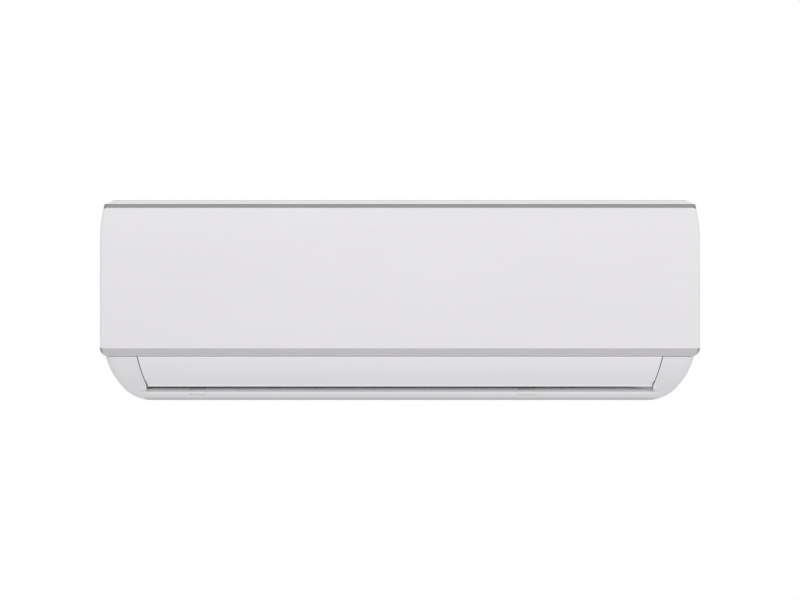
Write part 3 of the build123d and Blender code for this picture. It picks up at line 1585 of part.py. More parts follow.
rim_in = box_wall + clear
with BuildPart() as control_box_cover:
    with BuildSketch(front_plane(box_front + 0.1)):
        with Locations((box_x, box_h)):
            RectangleRounded(box_right - box_left, box_high - box_low, 3)
    extrude(amount=cover_sheet)
    # a turned-in rim inside the box's mouth, and a lifting tab
    with BuildSketch(front_plane(box_front - cover_rim)):
        with Locations((box_x, box_h)):
            RectangleRounded(box_right - box_left - 2 * rim_in, box_high - box_low - 2 * rim_in, 3)
            RectangleRounded(box_right - box_left - 2 * rim_in - 2 * cover_sheet,
                             box_high - box_low - 2 * rim_in - 2 * cover_sheet, 2, mode=Mode.SUBTRACT)
    extrude(amount=cover_rim + 0.5)
    with BuildSketch(front_plane(box_front + 0.1)):
        with Locations((box_x, box_high - 14)):
            SlotOverall(22, 6)
    extrude(amount=cover_sheet + 1.5)
control_box_cover.part.label = "control_box_cover"
export_step(control_box_cover.part, "parts/control_box_cover.step")

with BuildPart() as main_board:
    with BuildSketch(side_plane(board_x - 0.05)):
        with Locations((box_d, box_h)):
            RectangleRounded(board_depth, board_height, 2)
            with GridLocations(board_depth - 16, board_height - 16, 2, 2):
                Circle(1.6, mode=Mode.SUBTRACT)
    extrude(amount=board_thickness)
main_board.part.label = "main_board"
export_step(main_board.part, "parts/main_board.step")

# Parts soldered to the main board: relays, transformer, fuse, smoothing capacitors and plugs
board_face = board_x - 0.05 - board_thickness - 0.05
with BuildPart() as board_parts:
    for depth, height, along, up, tall in (
        (70, 250, 19, 15, 15), (95, 250, 19, 15, 15), (126, 244, 34, 28, 26),
        (72, 205, 26, 10, 9), (140, 205, 22, 8, 11), (140, 190, 16, 8, 11),
        (84, 150, 30, 18, 6), (140, 142, 10, 26, 12), (120, 160, 12, 20, 10),
    ):
        with BuildSketch(side_plane(board_face)):
            with Locations((depth, height)):
                RectangleRounded(along, up, 1.5)
        extrude(amount=tall)
    for depth, height, radius, tall in (
        (102, 212, 9, 24), (124, 208, 6.5, 18), (64, 178, 5, 12), (104, 180, 4, 11),
    ):
        with BuildSketch(side_plane(board_face)):
            with Locations((depth, height)):
                Circle(radius)
        extrude(amount=tall)
board_parts.part.label = "board_parts"
export_step(board_parts.part, "parts/board_parts.step")

# The terminal block for the mains and link leads, its screws and the clamp that grips the lead's jacket
terminal_back = box_front + 0.1 + cover_sheet + 0.1
terminal_pitch = (box_right - box_left - 16) / terminal_count
with BuildPart() as terminal_block:
    with BuildSketch(front_plane(terminal_back)):
        with Locations((box_x, terminal_h)):
            RectangleRounded(box_right - box_left - 10, terminal_height, 1.5)
    extrude(amount=terminal_depth)
    with BuildSketch(front_plane(terminal_back + terminal_depth - 5)):
        with Locations((box_x, terminal_h)):
            with GridLocations(terminal_pitch, 1, terminal_count, 1):
                Rectangle(terminal_pitch - 2, terminal_height + 2)
    extrude(amount=6, mode=Mode.SUBTRACT)
terminal_block.part.label = "terminal_block"
export_step(terminal_block.part, "parts/terminal_block.step")

with BuildPart() as terminal_screws:
    with BuildSketch(front_plane(terminal_back + terminal_depth - 4.9)):
        with Locations((box_x, terminal_h)):
            with GridLocations(terminal_pitch, terminal_height / 2, terminal_count, 2):
                Circle(3)
    extrude(amount=2.4)
    with BuildSketch(front_plane(terminal_back + terminal_depth - 4.9 + 1.6)):
        with Locations((box_x, terminal_h)):
            with GridLocations(terminal_pitch, terminal_height / 2, terminal_count, 2):
                Rectangle(4.4, 0.9)
                Rectangle(0.9, 4.4)
    extrude(amount=2, mode=Mode.SUBTRACT)
terminal_screws.part.label = "terminal_screws"
export_step(terminal_screws.part, "parts/terminal_screws.step")

clamp_face = terminal_back + 3
with BuildPart() as cord_clamp:
    with BuildSketch(level_plane(clamp_h - 5)):
        with BuildLine():
            Polyline((box_x - 18, -terminal_back), (box_x + 18, -terminal_back),
                     (box_x + 18, -clamp_face), (box_x + 9, -clamp_face))
            ThreePointArc((box_x + 9, -clamp_face), (box_x, -clamp_face - 6), (box_x - 9, -clamp_face))
            Polyline((box_x - 9, -clamp_face), (box_x - 18, -clamp_face), (box_x - 18, -terminal_back))
        make_face()
        with BuildLine():
            ThreePointArc(
                (box_x + 6, -terminal_back), (box_x, -clamp_face - 3.5), (box_x - 6, -terminal_back)
            )
            Line((box_x - 6, -terminal_back), (box_x + 6, -terminal_back))
        make_face(mode=Mode.SUBTRACT)
    extrude(amount=10)
cord_clamp.part.label = "cord_clamp"
export_step(cord_clamp.part, "parts/cord_clamp.step")


# ---------------------------------------------------------------- display and manual button

display_back = frame_front + 0.1
with BuildPart() as display_housing:
    with BuildSketch(front_plane(display_back)):
        with Locations((display_x, display_h)):
            RectangleRounded(display_width, display_height, 3)
    extrude(amount=display_depth)
    with BuildSketch(front_plane(display_back - 1)):
        with Locations((display_x, display_h)):
            RectangleRounded(display_width - 2 * display_wall, display_height - 2 * display_wall, 2)
    extrude(amount=display_depth + 1 - display_wall, mode=Mode.SUBTRACT)
    # windows for the lamps and the receiver, and the manual button's hole
    with BuildSketch(front_plane(display_back + display_depth - display_wall - 1)):
        with Locations((display_x + 8, display_h)):
            RectangleRounded(40, 11, 2)
        with Locations((display_x + 39, display_h)):
            Circle(4.5)
        with Locations((button_x, display_h)):
            Circle(button_radius + button_fit)
    extrude(amount=display_wall + 2, mode=Mode.SUBTRACT)
display_housing.part.label = "display_housing"
export_step(display_housing.part, "parts/display_housing.step")

display_face = display_back + 0.6 + board_thickness
with BuildPart() as display_board:
    with BuildSketch(front_plane(display_back + 0.6)):
        with Locations((display_x, display_h)):
            RectangleRounded(display_width - 2 * (display_wall + clear),
                             display_height - 2 * (display_wall + clear), 2)
    extrude(amount=board_thickness)
display_board.part.label = "display_board"
export_step(display_board.part, "parts/display_board.step")

with BuildPart() as display_parts:
    with BuildSketch(front_plane(display_face + 0.05)):
        with Locations((display_x + 8, display_h)):
            RectangleRounded(38, 9.6, 1)
    extrude(amount=5.5)
    with BuildSketch(front_plane(display_face + 0.05)):
        with Locations((display_x + 39, display_h)):
            Circle(receiver_radius)
    extrude(amount=receiver_radius + 0.3)
    with Locations(place(display_x + 39, (display_face + 0.05 + receiver_radius + 0.3, display_h))):
        Sphere(receiver_radius)
    with BuildSketch(front_plane(display_face + 0.05)):
        with Locations((button_x, display_h)):
            Rectangle(6, 6)
    extrude(amount=0.9)
display_parts.part.label = "display_parts"
export_step(display_parts.part, "parts/display_parts.step")

button_seat = display_face + 0.95 + button_travel + 0.1
with BuildPart() as manual_button:
    with BuildSketch(front_plane(button_seat)):
        with Locations((button_x, display_h)):
            Circle(button_radius + 1.2)
    extrude(amount=display_back + display_depth - display_wall - 0.2 - button_seat)
    with BuildSketch(front_plane(button_seat + 1)):
        with Locations((button_x, display_h)):
            Circle(button_radius)
    extrude(amount=display_back + display_depth + button_proud - button_seat - 1)
    fillet(manual_button.faces().sort_by(Axis.Y)[0].edges(), radius=0.6)
manual_button.part.label = "manual_button"
export_step(manual_button.part, "parts/manual_button.step")

# Sensors: one clipped before the front coil for the room's air, one strapped to the gas pipe
sensor_face = coil_front[0][0] + coil_thickness / 2 + 0.1
with BuildPart() as room_sensor:
    with BuildSketch(level_plane(room_sensor_h)):
        with Locations((room_sensor_x, -(sensor_face + 2))):
            RectangleRounded(12, 4, 1)
    extrude(amount=14)
    with BuildSketch(level_plane(room_sensor_h + 12)):
        with Locations((room_sensor_x, -(sensor_face + 2))):
            Circle(1.9)
    extrude(amount=9)
room_sensor.part.label = "room_sensor"
export_step(room_sensor.part, "parts/room_sensor.step")

with BuildPart() as coil_sensor:
    with BuildSketch(level_plane(coil_sensor_h)):
        with Locations((riser_x, -(gas_depth + gas_pipe_radius + 3.1))):
            Circle(3)
    extrude(amount=26)
    with BuildSketch(level_plane(coil_sensor_h + 6)):
        with Locations((riser_x, -(gas_depth + (gas_pipe_radius + 5.2) / 2 - 1))):
            SlotOverall(2 * gas_pipe_radius + 10, 2 * gas_pipe_radius + 2.4, rotation=90)
        with Locations((riser_x, -gas_depth)):
            Circle(gas_pipe_radius + 0.1, mode=Mode.SUBTRACT)
    extrude(amount=8)
coil_sensor.part.label = "coil_sensor"
export_step(coil_sensor.part, "parts/coil_sensor.step")


# ---------------------------------------------------------------- louver drive

louver_inward = (belly_depth - louver_axis[0], belly_radius - louver_axis[1])
louver_motor_center = shifted(louver_axis, louver_inward, louver_motor_offset / hypot(*louver_inward))
with BuildPart() as louver_motor:
    with BuildSketch(side_plane(louver_motor_left + louver_motor_length)):
        with Locations(louver_motor_center):
            Circle(louver_motor_radius)
    extrude(amount=louver_motor_length)
    with BuildSketch(side_plane(louver_motor_left + 1.2)):
        with Locations(louver_motor_center):
            SlotOverall(2 * louver_motor_radius + 15, 7, rotation=45)
    extrude(amount=1.2)
    with BuildSketch(side_plane(louver_motor_left + 6)):
        with Locations(louver_axis):
            Circle(louver_pin_radius + running_fit)
    extrude(amount=8, mode=Mode.SUBTRACT)
    # the plug of its lead
    with BuildSketch(side_plane(louver_motor_left + louver_motor_length - 1)):
        with Locations(shifted(louver_motor_center, (-0.707, 0.707), louver_motor_radius)):
            Rectangle(6, 9, rotation=45)
    extrude(amount=6)
louver_motor.part.label = "louver_motor"
export_step(louver_motor.part, "parts/louver_motor.step")


# ---------------------------------------------------------------- mounting plate, pipe clamp, plug and screws

with BuildPart() as mounting_plate:
    with BuildSketch(front_plane(0)):
        with Locations((0, (plate_low + plate_high) / 2)):
            RectangleRounded(plate_width, plate_high - plate_low, 8)
        # lightening windows on both sides of the solid middle
        for x, width in ((-215, 90), (-100, 90), (100, 90), (215, 90)):
            with Locations((x, plate_window_h)):
                RectangleRounded(width, plate_window_height, 6, mode=Mode.SUBTRACT)
        with Locations((0, origin_height)):
            with GridLocations(plate_hole_x, plate_hole_h, 2, 2):
                Circle(plate_hole_radius, mode=Mode.SUBTRACT)
        with Locations((0, plate_high - 16)):
            with GridLocations(plate_row_pitch, 1, plate_row_count, 1):
                Circle(plate_hole_radius, mode=Mode.SUBTRACT)
    extrude(amount=plate_thickness)
    # raised bead along the plate's long edges
    for h in (plate_low + 8, plate_high - 30):
        with BuildSketch(front_plane(plate_thickness - 0.2)):
            with Locations((0, h)):
                SlotOverall(plate_width - 30, 6)
        extrude(amount=1.7)
    # hooks that the chassis hangs on
    for x in (-hook_pitch, 0, hook_pitch):
        with BuildSketch(side_plane(x + hook_width / 2)):
            with BuildLine():
                Polyline(
                    (0.2, plate_high - plate_thickness), (hook_reach, plate_high - plate_thickness),
                    (hook_reach, plate_high + hook_rise - plate_thickness),
                    (hook_reach - plate_thickness, plate_high + hook_rise - plate_thickness),
                    (hook_reach - plate_thickness, plate_high), (0.2, plate_high), close=True,
                )
            make_face()
        extrude(amount=hook_width)
mounting_plate.part.label = "mounting_plate"
export_step(mounting_plate.part, "parts/mounting_plate.step")

with BuildPart() as pipe_clamp:
    with BuildSketch(front_plane(back_recess - 2.1)):
        with Locations((pipe_clamp_x, (4 + channel_top) / 2 + 1)):
            RectangleRounded(60, channel_top - 4, 4)
    extrude(amount=2)
    for level, radius, depth in (
        (gas_level, gas_pipe_radius, gas_depth), (liquid_level, liquid_pipe_radius, riser_depth),
    ):
        for x in (pipe_clamp_x - 18, pipe_clamp_x + 18):
            with BuildSketch(side_plane(x + 1.5)):
                with BuildLine():
                    Polyline((back_recess - 1, level - 8), (back_recess - 1, level + 8),
                             (depth, level + 6), (depth, level - 6), close=True)
                make_face()
                with Locations((depth, level)):
                    Circle(radius + 0.2, mode=Mode.SUBTRACT)
                with Locations((depth + 5, level)):
                    Rectangle(10, 20, mode=Mode.SUBTRACT)
            extrude(amount=3)
pipe_clamp.part.label = "pipe_clamp"
export_step(pipe_clamp.part, "parts/pipe_clamp.step")

# Covers that close the pipe channel's two ends, round the casing's lower corners
with BuildPart() as pipe_covers:
    for side in (-1, 1):
        for inset, depth, length in (
            (rim_inset, rim_back, casing_back - clear - rim_back),
            (casing_wall + clear, back_recess, rim_tuck),
        ):
            with BuildSketch(front_plane(depth)):
                with BuildLine():
                    casing_outline(inset)
                make_face()
                with BuildLine():
                    casing_outline(inset + rim_wall)
                make_face(mode=Mode.SUBTRACT)
                with Locations((side * (cover_start + casing_width / 4), (channel_top - duct_wall) / 2)):
                    Rectangle(casing_width / 2, channel_top - duct_wall, mode=Mode.INTERSECT)
            extrude(amount=length)
pipe_covers.part.label = "pipe_covers"
export_step(pipe_covers.part, "parts/pipe_covers.step")

with BuildPart() as drain_plug:
    with BuildSketch(front_plane(channel_front - nozzle_length - 2.2)):
        with Locations((-nozzle_x, nozzle_h)):
            Circle(drain_radius + 2)
    extrude(amount=14)
    with BuildSketch(front_plane(channel_front - nozzle_length - 0.1)):
        with Locations((-nozzle_x, nozzle_h)):
            Circle(drain_radius + 0.05)
    extrude(amount=14, mode=Mode.SUBTRACT)
drain_plug.part.label = "drain_plug"
export_step(drain_plug.part, "parts/drain_plug.step")

with BuildPart() as casing_screws:
    for x in casing_screw_x:
        with BuildSketch(front_plane(trough_nose + 0.8)):
            with Locations((x, casing_screw_h)):
                Circle(1.5)
        extrude(amount=frame_front - trough_nose + 0.2)
        with BuildSketch(front_plane(frame_front + 0.1)):
            with Locations((x, casing_screw_h)):
                Circle(3.4)
        extrude(amount=2)
        with BuildSketch(front_plane(frame_front + 1)):
            with Locations((x, casing_screw_h)):
                Rectangle(4.6, 0.9)
                Rectangle(0.9, 4.6)
        extrude(amount=2, mode=Mode.SUBTRACT)
casing_screws.part.label = "casing_screws"
export_step(casing_screws.part, "parts/casing_screws.step")
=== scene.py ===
import json
import math

import bmesh
import bpy
import numpy as np
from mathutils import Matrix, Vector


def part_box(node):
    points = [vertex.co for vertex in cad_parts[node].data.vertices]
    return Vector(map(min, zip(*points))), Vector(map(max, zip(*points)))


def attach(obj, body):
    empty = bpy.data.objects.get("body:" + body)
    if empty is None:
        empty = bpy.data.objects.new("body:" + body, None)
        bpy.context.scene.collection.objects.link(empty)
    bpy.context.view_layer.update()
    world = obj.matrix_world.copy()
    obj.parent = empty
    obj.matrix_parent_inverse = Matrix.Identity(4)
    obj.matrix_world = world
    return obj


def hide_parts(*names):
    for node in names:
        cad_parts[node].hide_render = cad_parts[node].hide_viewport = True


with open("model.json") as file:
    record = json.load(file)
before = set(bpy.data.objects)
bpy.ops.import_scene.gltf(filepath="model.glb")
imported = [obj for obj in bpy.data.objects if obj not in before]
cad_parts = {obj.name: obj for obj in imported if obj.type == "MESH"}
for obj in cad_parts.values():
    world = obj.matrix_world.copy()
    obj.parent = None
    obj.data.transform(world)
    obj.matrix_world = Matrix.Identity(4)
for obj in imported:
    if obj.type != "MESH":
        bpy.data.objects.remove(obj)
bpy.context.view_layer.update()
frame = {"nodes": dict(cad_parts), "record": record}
nodes = frame["nodes"]
print("frame loaded:", len(nodes), "nodes")

originHeight = 160.0  # mm from the casing's underside up to the frame's origin
edgeShadeLineFrom = (-0.154, -0.160)  # y in metres: the painted shade line along the top edge comes in over this way
reachFade = (0.012, 0.002)  # metres past and before the reach, over which the painted shade bands by height end
white = (1, 1, 1, 1)


def plug(tree, value, socket):
    # A socket gets a link from a Wire, or a plain value
    if isinstance(value, Wire):
        tree.links.new(value.socket, socket)
    else:
        socket.default_value = value


class Wire:
    # An output socket in a material, so that sums and products read as ordinary Python
    def __init__(self, tree, socket):
        self.tree = tree
        self.socket = socket

    def operate(self, operation, *values):
        made = self.tree.nodes.new("ShaderNodeMath")
        made.operation = operation
        for slot, value in zip(made.inputs, values):
            plug(self.tree, value, slot)
        return Wire(self.tree, made.outputs[0])

    def __add__(self, other):
        return self.operate("ADD", self, other)

    def __radd__(self, other):
        return self.operate("ADD", other, self)

    def __sub__(self, other):
        return self.operate("SUBTRACT", self, other)

    def __rsub__(self, other):
        return self.operate("SUBTRACT", other, self)

    def __mul__(self, other):
        return self.operate("MULTIPLY", self, other)

    def __rmul__(self, other):
        return self.operate("MULTIPLY", other, self)

    def __lt__(self, other):
        return self.operate("LESS_THAN", self, other)

    def __abs__(self):
        return self.operate("ABSOLUTE", self)


class Finish:
    # A material with one Principled shader and short ways to feed it
    def __init__(self, name):
        self.material = bpy.data.materials.new(name)
        self.material.use_nodes = True
        self.tree = self.material.node_tree
        self.shader = self.tree.nodes["Principled BSDF"]
        self.output = self.tree.nodes["Material Output"]

    def node(self, kind, settings=None, values=None, out=0):
        # Any node: its settings go in first, then its sockets' values or links
        made = self.tree.nodes.new(kind)
        for key, value in (settings or {}).items():
            if key == "stops":
                ramp = made.color_ramp
                while len(ramp.elements) < len(value):
                    ramp.elements.new(0.5)
                for element, (at, colour) in zip(ramp.elements, value):
                    element.position = at
                    element.color = colour
            else:
                setattr(made, key, value)
        for key, value in (values or {}).items():
            plug(self.tree, value, made.inputs[key])
        return Wire(self.tree, made.outputs[out])

    def place(self, scale=(1, 1, 1), turn=(0, 0, 0)):
        # Object coordinates in metres, stretched and turned
        return self.node("ShaderNodeMapping", None, {
            "Vector": self.node("ShaderNodeTexCoord", out="Object"), "Scale": scale, "Rotation": turn,
        })

    def axis(self, letter):
        # One object coordinate in metres
        where = self.node("ShaderNodeTexCoord", out="Object")
        return self.node("ShaderNodeSeparateXYZ", None, {"Vector": where}, out=letter)

    def noise(self, scale, detail=3.0, rough=0.5, vector=None):
        return self.node("ShaderNodeTexNoise", None, {
            "Vector": vector or self.place(), "Scale": scale, "Detail": detail, "Roughness": rough,
        })

    def cells(self, scale):
        # Flat cells, each with a level of its own
        values = {"Vector": self.place(), "Scale": scale}
        colour = self.node("ShaderNodeTexVoronoi", None, values, out="Color")
        return self.node("ShaderNodeSeparateColor", None, {"Color": colour})

    def blend(self, factor, first, second, kind="MIX"):
        # Two colours mixed by a factor; 0, 6, 7 and output 2 are the Mix node's sockets for colours
        settings = {"data_type": "RGBA", "blend_type": kind}
        return self.node("ShaderNodeMix", settings, {0: factor, 6: first, 7: second}, out=2)

    def ramp(self, value, low, high):
        # A value stretched so that low gives 0 and high gives 1
        return self.node("ShaderNodeMapRange", {"clamp": True}, {
            "Value": value, "From Min": low, "From Max": high,
        })

    def upBetween(self, low, high):
        # 0 to 1 between two heights in mm over the casing's underside
        return self.ramp(self.axis("Z"), (low - originHeight) / 1000, (high - originHeight) / 1000)

    def paintedEdgeShade(self, low, high, level):
        # A painted shade line for the casing's top edge: it comes in between two heights, out on the casing's
        # front edge only
        band = self.upBetween(low, high) * self.ramp(self.axis("Y"), *edgeShadeLineFrom)
        return self.blend(band, white, grey(level))

    def paintedLightByHeight(self, stops, reach):
        # Painted shade and painted highlight in bands that follow the height, inside reach metres of the
        # middle
        low, high = stops[0][0], stops[-1][0]
        tone = self.node("ShaderNodeValToRGB", {
            "stops": [((mm - low) / (high - low), grey(level)) for mm, level in stops],
        }, {"Fac": self.upBetween(low, high)})
        inside = self.ramp(abs(self.axis("X")), reach + reachFade[0], reach - reachFade[1])
        return self.blend(inside, grey(stops[-1][1]), tone)

    def feed(self, **values):
        # Values or links for the Principled shader's sockets, named with underscores for spaces
        for key, value in values.items():
            plug(self.tree, value, self.shader.inputs[key.replace("_", " ")])

    def bump(self, height, strength, distance):
        self.feed(Normal=self.node("ShaderNodeBump", None, {
            "Height": height, "Strength": strength, "Distance": distance,
        }))


def paint(red, green, blue):
    # A colour given as it looks on a screen, 0 to 255, made linear
    def straight(value):
        value /= 255
        return value / 12.92 if value < 0.04045 else ((value + 0.055) / 1.055) ** 2.4
    return (straight(red), straight(green), straight(blue), 1.0)


def grey(level):
    return (level, level, level, 1)


def shade(colour, factor):
    return tuple(value * factor for value in colour[:3]) + (1.0,)


plasticLook = {
    "panel": {"colour": paint(233, 231, 234), "rough": 0.34, "grain": 0.10, "coat": 0.25, "mottle": 0.975},
    "casing": {
        "colour": paint(243, 241, 243), "rough": 0.42, "grain": 0.22, "coat": 0.10, "mottle": 0.97,
        # Painted shade: a dark line along the top edge, and bands by height that darken the underside and the
        # gap under the louver, with a thin lighter band just under the trim as a painted highlight
        "edgeShadeLine": (319.6, 320.8, 0.74), "reach": 0.407, "paintedLightBands": [
            (0.0, 0.62), (2.0, 0.54), (4.0, 0.78), (6.0, 0.87), (12.0, 0.98), (13.1, 0.98), (13.8, 0.70),
            (16.4, 0.70), (18.0, 0.92), (20.0, 1.0), (30.0, 0.88), (68.2, 0.88), (69.4, 1.0), (72.0, 0.88),
            (73.0, 0.88),
        ],
    },
    "cap": {
        "colour": paint(243, 241, 243), "rough": 0.42, "grain": 0.22, "coat": 0.10, "mottle": 0.97,
        # Painted shade: the caps darken by height where they sit in the shade under the louver
        "reach": 0.407, "paintedLightBands": [(10.0, 1.0), (13.0, 1.0), (14.0, 0.70), (19.0, 0.63), (20.0, 0.63)],
    },
    "louver": {
        "colour": paint(248, 246, 248), "rough": 0.38, "grain": 0.12, "coat": 0.15, "mottle": 0.975,
        # Painted light by height: a painted highlight along the louver's top and bottom edges, and painted
        # shade on the face between them
        "reach": 0.5, "paintedLightBands": [
            (20.0, 1.0), (24.0, 1.0), (25.4, 0.86), (68.2, 0.88), (69.3, 1.0), (71.0, 1.0), (72.0, 0.86),
        ],
    },
    "inner": {"colour": paint(206, 206, 207), "rough": 0.55, "grain": 0.35, "coat": 0.0, "mottle": 0.94},
    "vane": {"colour": paint(188, 188, 190), "rough": 0.50, "grain": 0.30, "coat": 0.0, "mottle": 0.94},
    "motor": {"colour": paint(214, 213, 209), "rough": 0.48, "grain": 0.30, "coat": 0.0, "mottle": 0.93},
    "fan": {"colour": paint(74, 76, 80), "rough": 0.46, "grain": 0.35, "coat": 0.0, "mottle": 0.85},
    "filter": {"colour": paint(126, 134, 142), "rough": 0.5, "grain": 0.3, "coat": 0.0, "mottle": 0.9},
    "net": {"colour": paint(150, 158, 166), "rough": 0.55, "grain": 0.1, "coat": 0.0, "mottle": 0.85},
}
mouldLook = {
    "drift": 2.2, "flow": 5.0, "flowStretch": (0.6, 6.0, 6.0), "driftShare": 0.65, "flowShare": 0.35,
    "toneFrom": 0.35, "toneTo": 0.65, "gloss": 35.0, "glossLess": 0.04, "glossMore": 0.08,
    "grain": 1400.0, "grainSoft": 0.6, "grainShare": 0.6, "fine": 900.0, "fineShare": 0.4,
    "depth": 0.00008, "refraction": 1.5, "coatRough": 0.25,
}


def mouldedPlastic(name, look, mould=mouldLook):
    # Moulded plastic: a fine spark-eroded grain, a slow drift of colour and gloss, faint flow lines along x.
    # A look may add painted shade and painted highlight in bands by height, and a painted shade line along
    # the casing's top edge
    made = Finish(name)
    drift = made.noise(mould["drift"], detail=2.0)
    flowLines = made.noise(mould["flow"], detail=4.0, vector=made.place(mould["flowStretch"]))
    cloud = mould["driftShare"] * drift + mould["flowShare"] * flowLines
    tone = made.ramp(cloud, mould["toneFrom"], mould["toneTo"])
    colour = made.blend(tone, shade(look["colour"], look["mottle"]), look["colour"])
    # Painted shade and painted highlight in bands by height, multiplied over the colour
    if "paintedLightBands" in look:
        colour = made.blend(1.0, colour, made.paintedLightByHeight(look["paintedLightBands"], look["reach"]), "MULTIPLY")
    # A painted shade line along the casing's top edge, multiplied over the colour
    if "edgeShadeLine" in look:
        colour = made.blend(1.0, colour, made.paintedEdgeShade(*look["edgeShadeLine"]), "MULTIPLY")
    grain = made.node("ShaderNodeTexVoronoi", {"feature": "SMOOTH_F1"}, {
        "Vector": made.place(), "Scale": mould["grain"], "Smoothness": mould["grainSoft"],
    })
    fine = made.noise(mould["fine"], detail=2.0)
    rough = look["rough"] - mould["glossLess"] + mould["glossMore"] * made.noise(mould["gloss"])
    made.feed(Base_Color=colour, Roughness=rough, IOR=mould["refraction"])
    made.feed(Coat_Weight=look["coat"], Coat_Roughness=mould["coatRough"])
    made.bump(grain * mould["grainShare"] + fine * mould["fineShare"], look["grain"], mould["depth"])
    return made.material


trimLook = {
    "silver": {
        "colour": paint(203, 201, 203), "rough": 0.36, "metal": 0.35, "endShadeFrom": 0.4765, "endShadeTo": 0.4805,
    },
    "grey": {
        "colour": paint(131, 130, 132), "rough": 0.46, "metal": 0.0, "endShadeFrom": 0.470, "endShadeTo": 0.477,
    },
}
lacquerLook = {
    "flake": 2600.0, "brush": 60.0, "brushStretch": (0.4, 8.0, 8.0), "share": 0.5,
    # end is the painted shade at the strip's ends, as a share of the colour
    "toneFrom": 0.2, "toneTo": 0.8, "dark": 0.90, "light": 1.06, "end": 0.55, "glossMore": 0.06,
    "coat": 0.3, "coatRough": 0.2, "strength": 0.08, "depth": 0.0001,
}


def paintedTrim(name, look, lacquer=lacquerLook):
    # Satin lacquer with a fine metal flake: small cells that lighten and darken the colour a little,
    # and painted shade at the ends where the strip turns round the panel's corners
    made = Finish(name)
    level = made.cells(lacquer["flake"])
    brushed = made.noise(lacquer["brush"], vector=made.place(lacquer["brushStretch"]))
    cloud = lacquer["share"] * level + lacquer["share"] * brushed
    tone = made.ramp(cloud, lacquer["toneFrom"], lacquer["toneTo"])
    # Painted shade: the colour darkens towards the strip's ends, where it turns round the corners
    end = made.ramp(abs(made.axis("X")), look["endShadeFrom"], look["endShadeTo"])
    colour = made.blend(tone, shade(look["colour"], lacquer["dark"]), shade(look["colour"], lacquer["light"]))
    made.feed(Base_Color=made.blend(end, colour, shade(look["colour"], lacquer["end"])))
    made.feed(Metallic=look["metal"], Roughness=look["rough"] + lacquer["glossMore"] * level)
    made.feed(Coat_Weight=lacquer["coat"], Coat_Roughness=lacquer["coatRough"])
    made.bump(brushed, lacquer["strength"], lacquer["depth"])
    return made.material


metalLook = {
    "zinc": {"colour": paint(176, 179, 182), "rough": 0.42, "cell": 110.0, "metal": 1.0},
    "steel": {"colour": paint(168, 168, 170), "rough": 0.30, "cell": 420.0, "metal": 1.0},
    "fin": {"colour": paint(202, 212, 220), "rough": 0.42, "cell": 240.0, "metal": 0.45},
}
sheetLook = {
    "scratch": 320.0, "scratchStretch": (1.0, 1.0, 0.08), "scratchTurn": (0.2, 0.1, 0.7), "cloud": 14.0,
    "cellShare": 0.6, "cloudShare": 0.4, "toneFrom": 0.1, "toneTo": 0.9, "dark": 0.80, "light": 1.08,
    "glossLess": 0.06, "cellGloss": 0.12, "scratchGloss": 0.08, "strength": 0.12, "depth": 0.0001,
}


def sheetMetal(name, look, sheet=sheetLook):
    # Zinc-coated or plain sheet: flat crystals of slightly different tone and gloss, fine scratches over them
    made = Finish(name)
    level = made.cells(look["cell"])
    lines = made.place(sheet["scratchStretch"], sheet["scratchTurn"])
    scratch = made.noise(sheet["scratch"], detail=4.0, rough=0.7, vector=lines)
    cloud = sheet["cellShare"] * level + sheet["cloudShare"] * made.noise(sheet["cloud"], detail=4.0)
    tone = made.ramp(cloud, sheet["toneFrom"], sheet["toneTo"])
    colour = made.blend(tone, shade(look["colour"], sheet["dark"]), shade(look["colour"], sheet["light"]))
    rough = look["rough"] - sheet["glossLess"] + sheet["cellGloss"] * level + sheet["scratchGloss"] * scratch
    made.feed(Base_Color=colour, Metallic=look["metal"], Roughness=rough)
    made.bump(scratch, sheet["strength"], sheet["depth"])
    return made.material


tubeLook = {
    "copper": {"colour": paint(206, 128, 92), "dark": paint(132, 78, 52)},
    "brass": {"colour": paint(206, 172, 106), "dark": paint(150, 116, 62)},
    "cloud": 26.0, "toneFrom": 0.42, "toneTo": 0.70, "lines": 260.0, "lineStretch": (0.15, 1.0, 1.0),
    "rough": 0.24, "dullMore": 0.22, "lineMore": 0.05, "strength": 0.10, "depth": 0.0001,
}


def copperTube(name, look, tube=tubeLook):
    # Drawn copper or turned brass: brown tarnish in soft clouds, fine lines along the metal
    made = Finish(name)
    cloud = made.noise(tube["cloud"], detail=5.0, rough=0.6)
    tarnish = made.ramp(cloud, tube["toneFrom"], tube["toneTo"])
    lines = made.noise(tube["lines"], rough=0.6, vector=made.place(tube["lineStretch"]))
    made.feed(Base_Color=made.blend(tarnish, look["colour"], look["dark"]), Metallic=1.0)
    made.feed(Roughness=tube["rough"] + tube["dullMore"] * tarnish + tube["lineMore"] * lines)
    made.bump(lines, tube["strength"], tube["depth"])
    return made.material


rubberLook = {
    "bloom": 30.0, "toneFrom": 0.35, "toneTo": 0.75, "pits": 1100.0, "light": 1.9,
    "rough": 0.72, "dullMore": 0.14, "strength": 0.30, "depth": 0.0001,
}


def rubberFinish(name, colour, rubber=rubberLook):
    # Moulded rubber: matt, with a soft bloom and a fine pitted skin
    made = Finish(name)
    bloom = made.ramp(made.noise(rubber["bloom"], detail=4.0), rubber["toneFrom"], rubber["toneTo"])
    pits = made.noise(rubber["pits"], detail=2.0)
    made.feed(Base_Color=made.blend(bloom, colour, shade(colour, rubber["light"])))
    made.feed(Roughness=rubber["rough"] + rubber["dullMore"] * bloom)
    made.bump(pits, rubber["strength"], rubber["depth"])
    return made.material


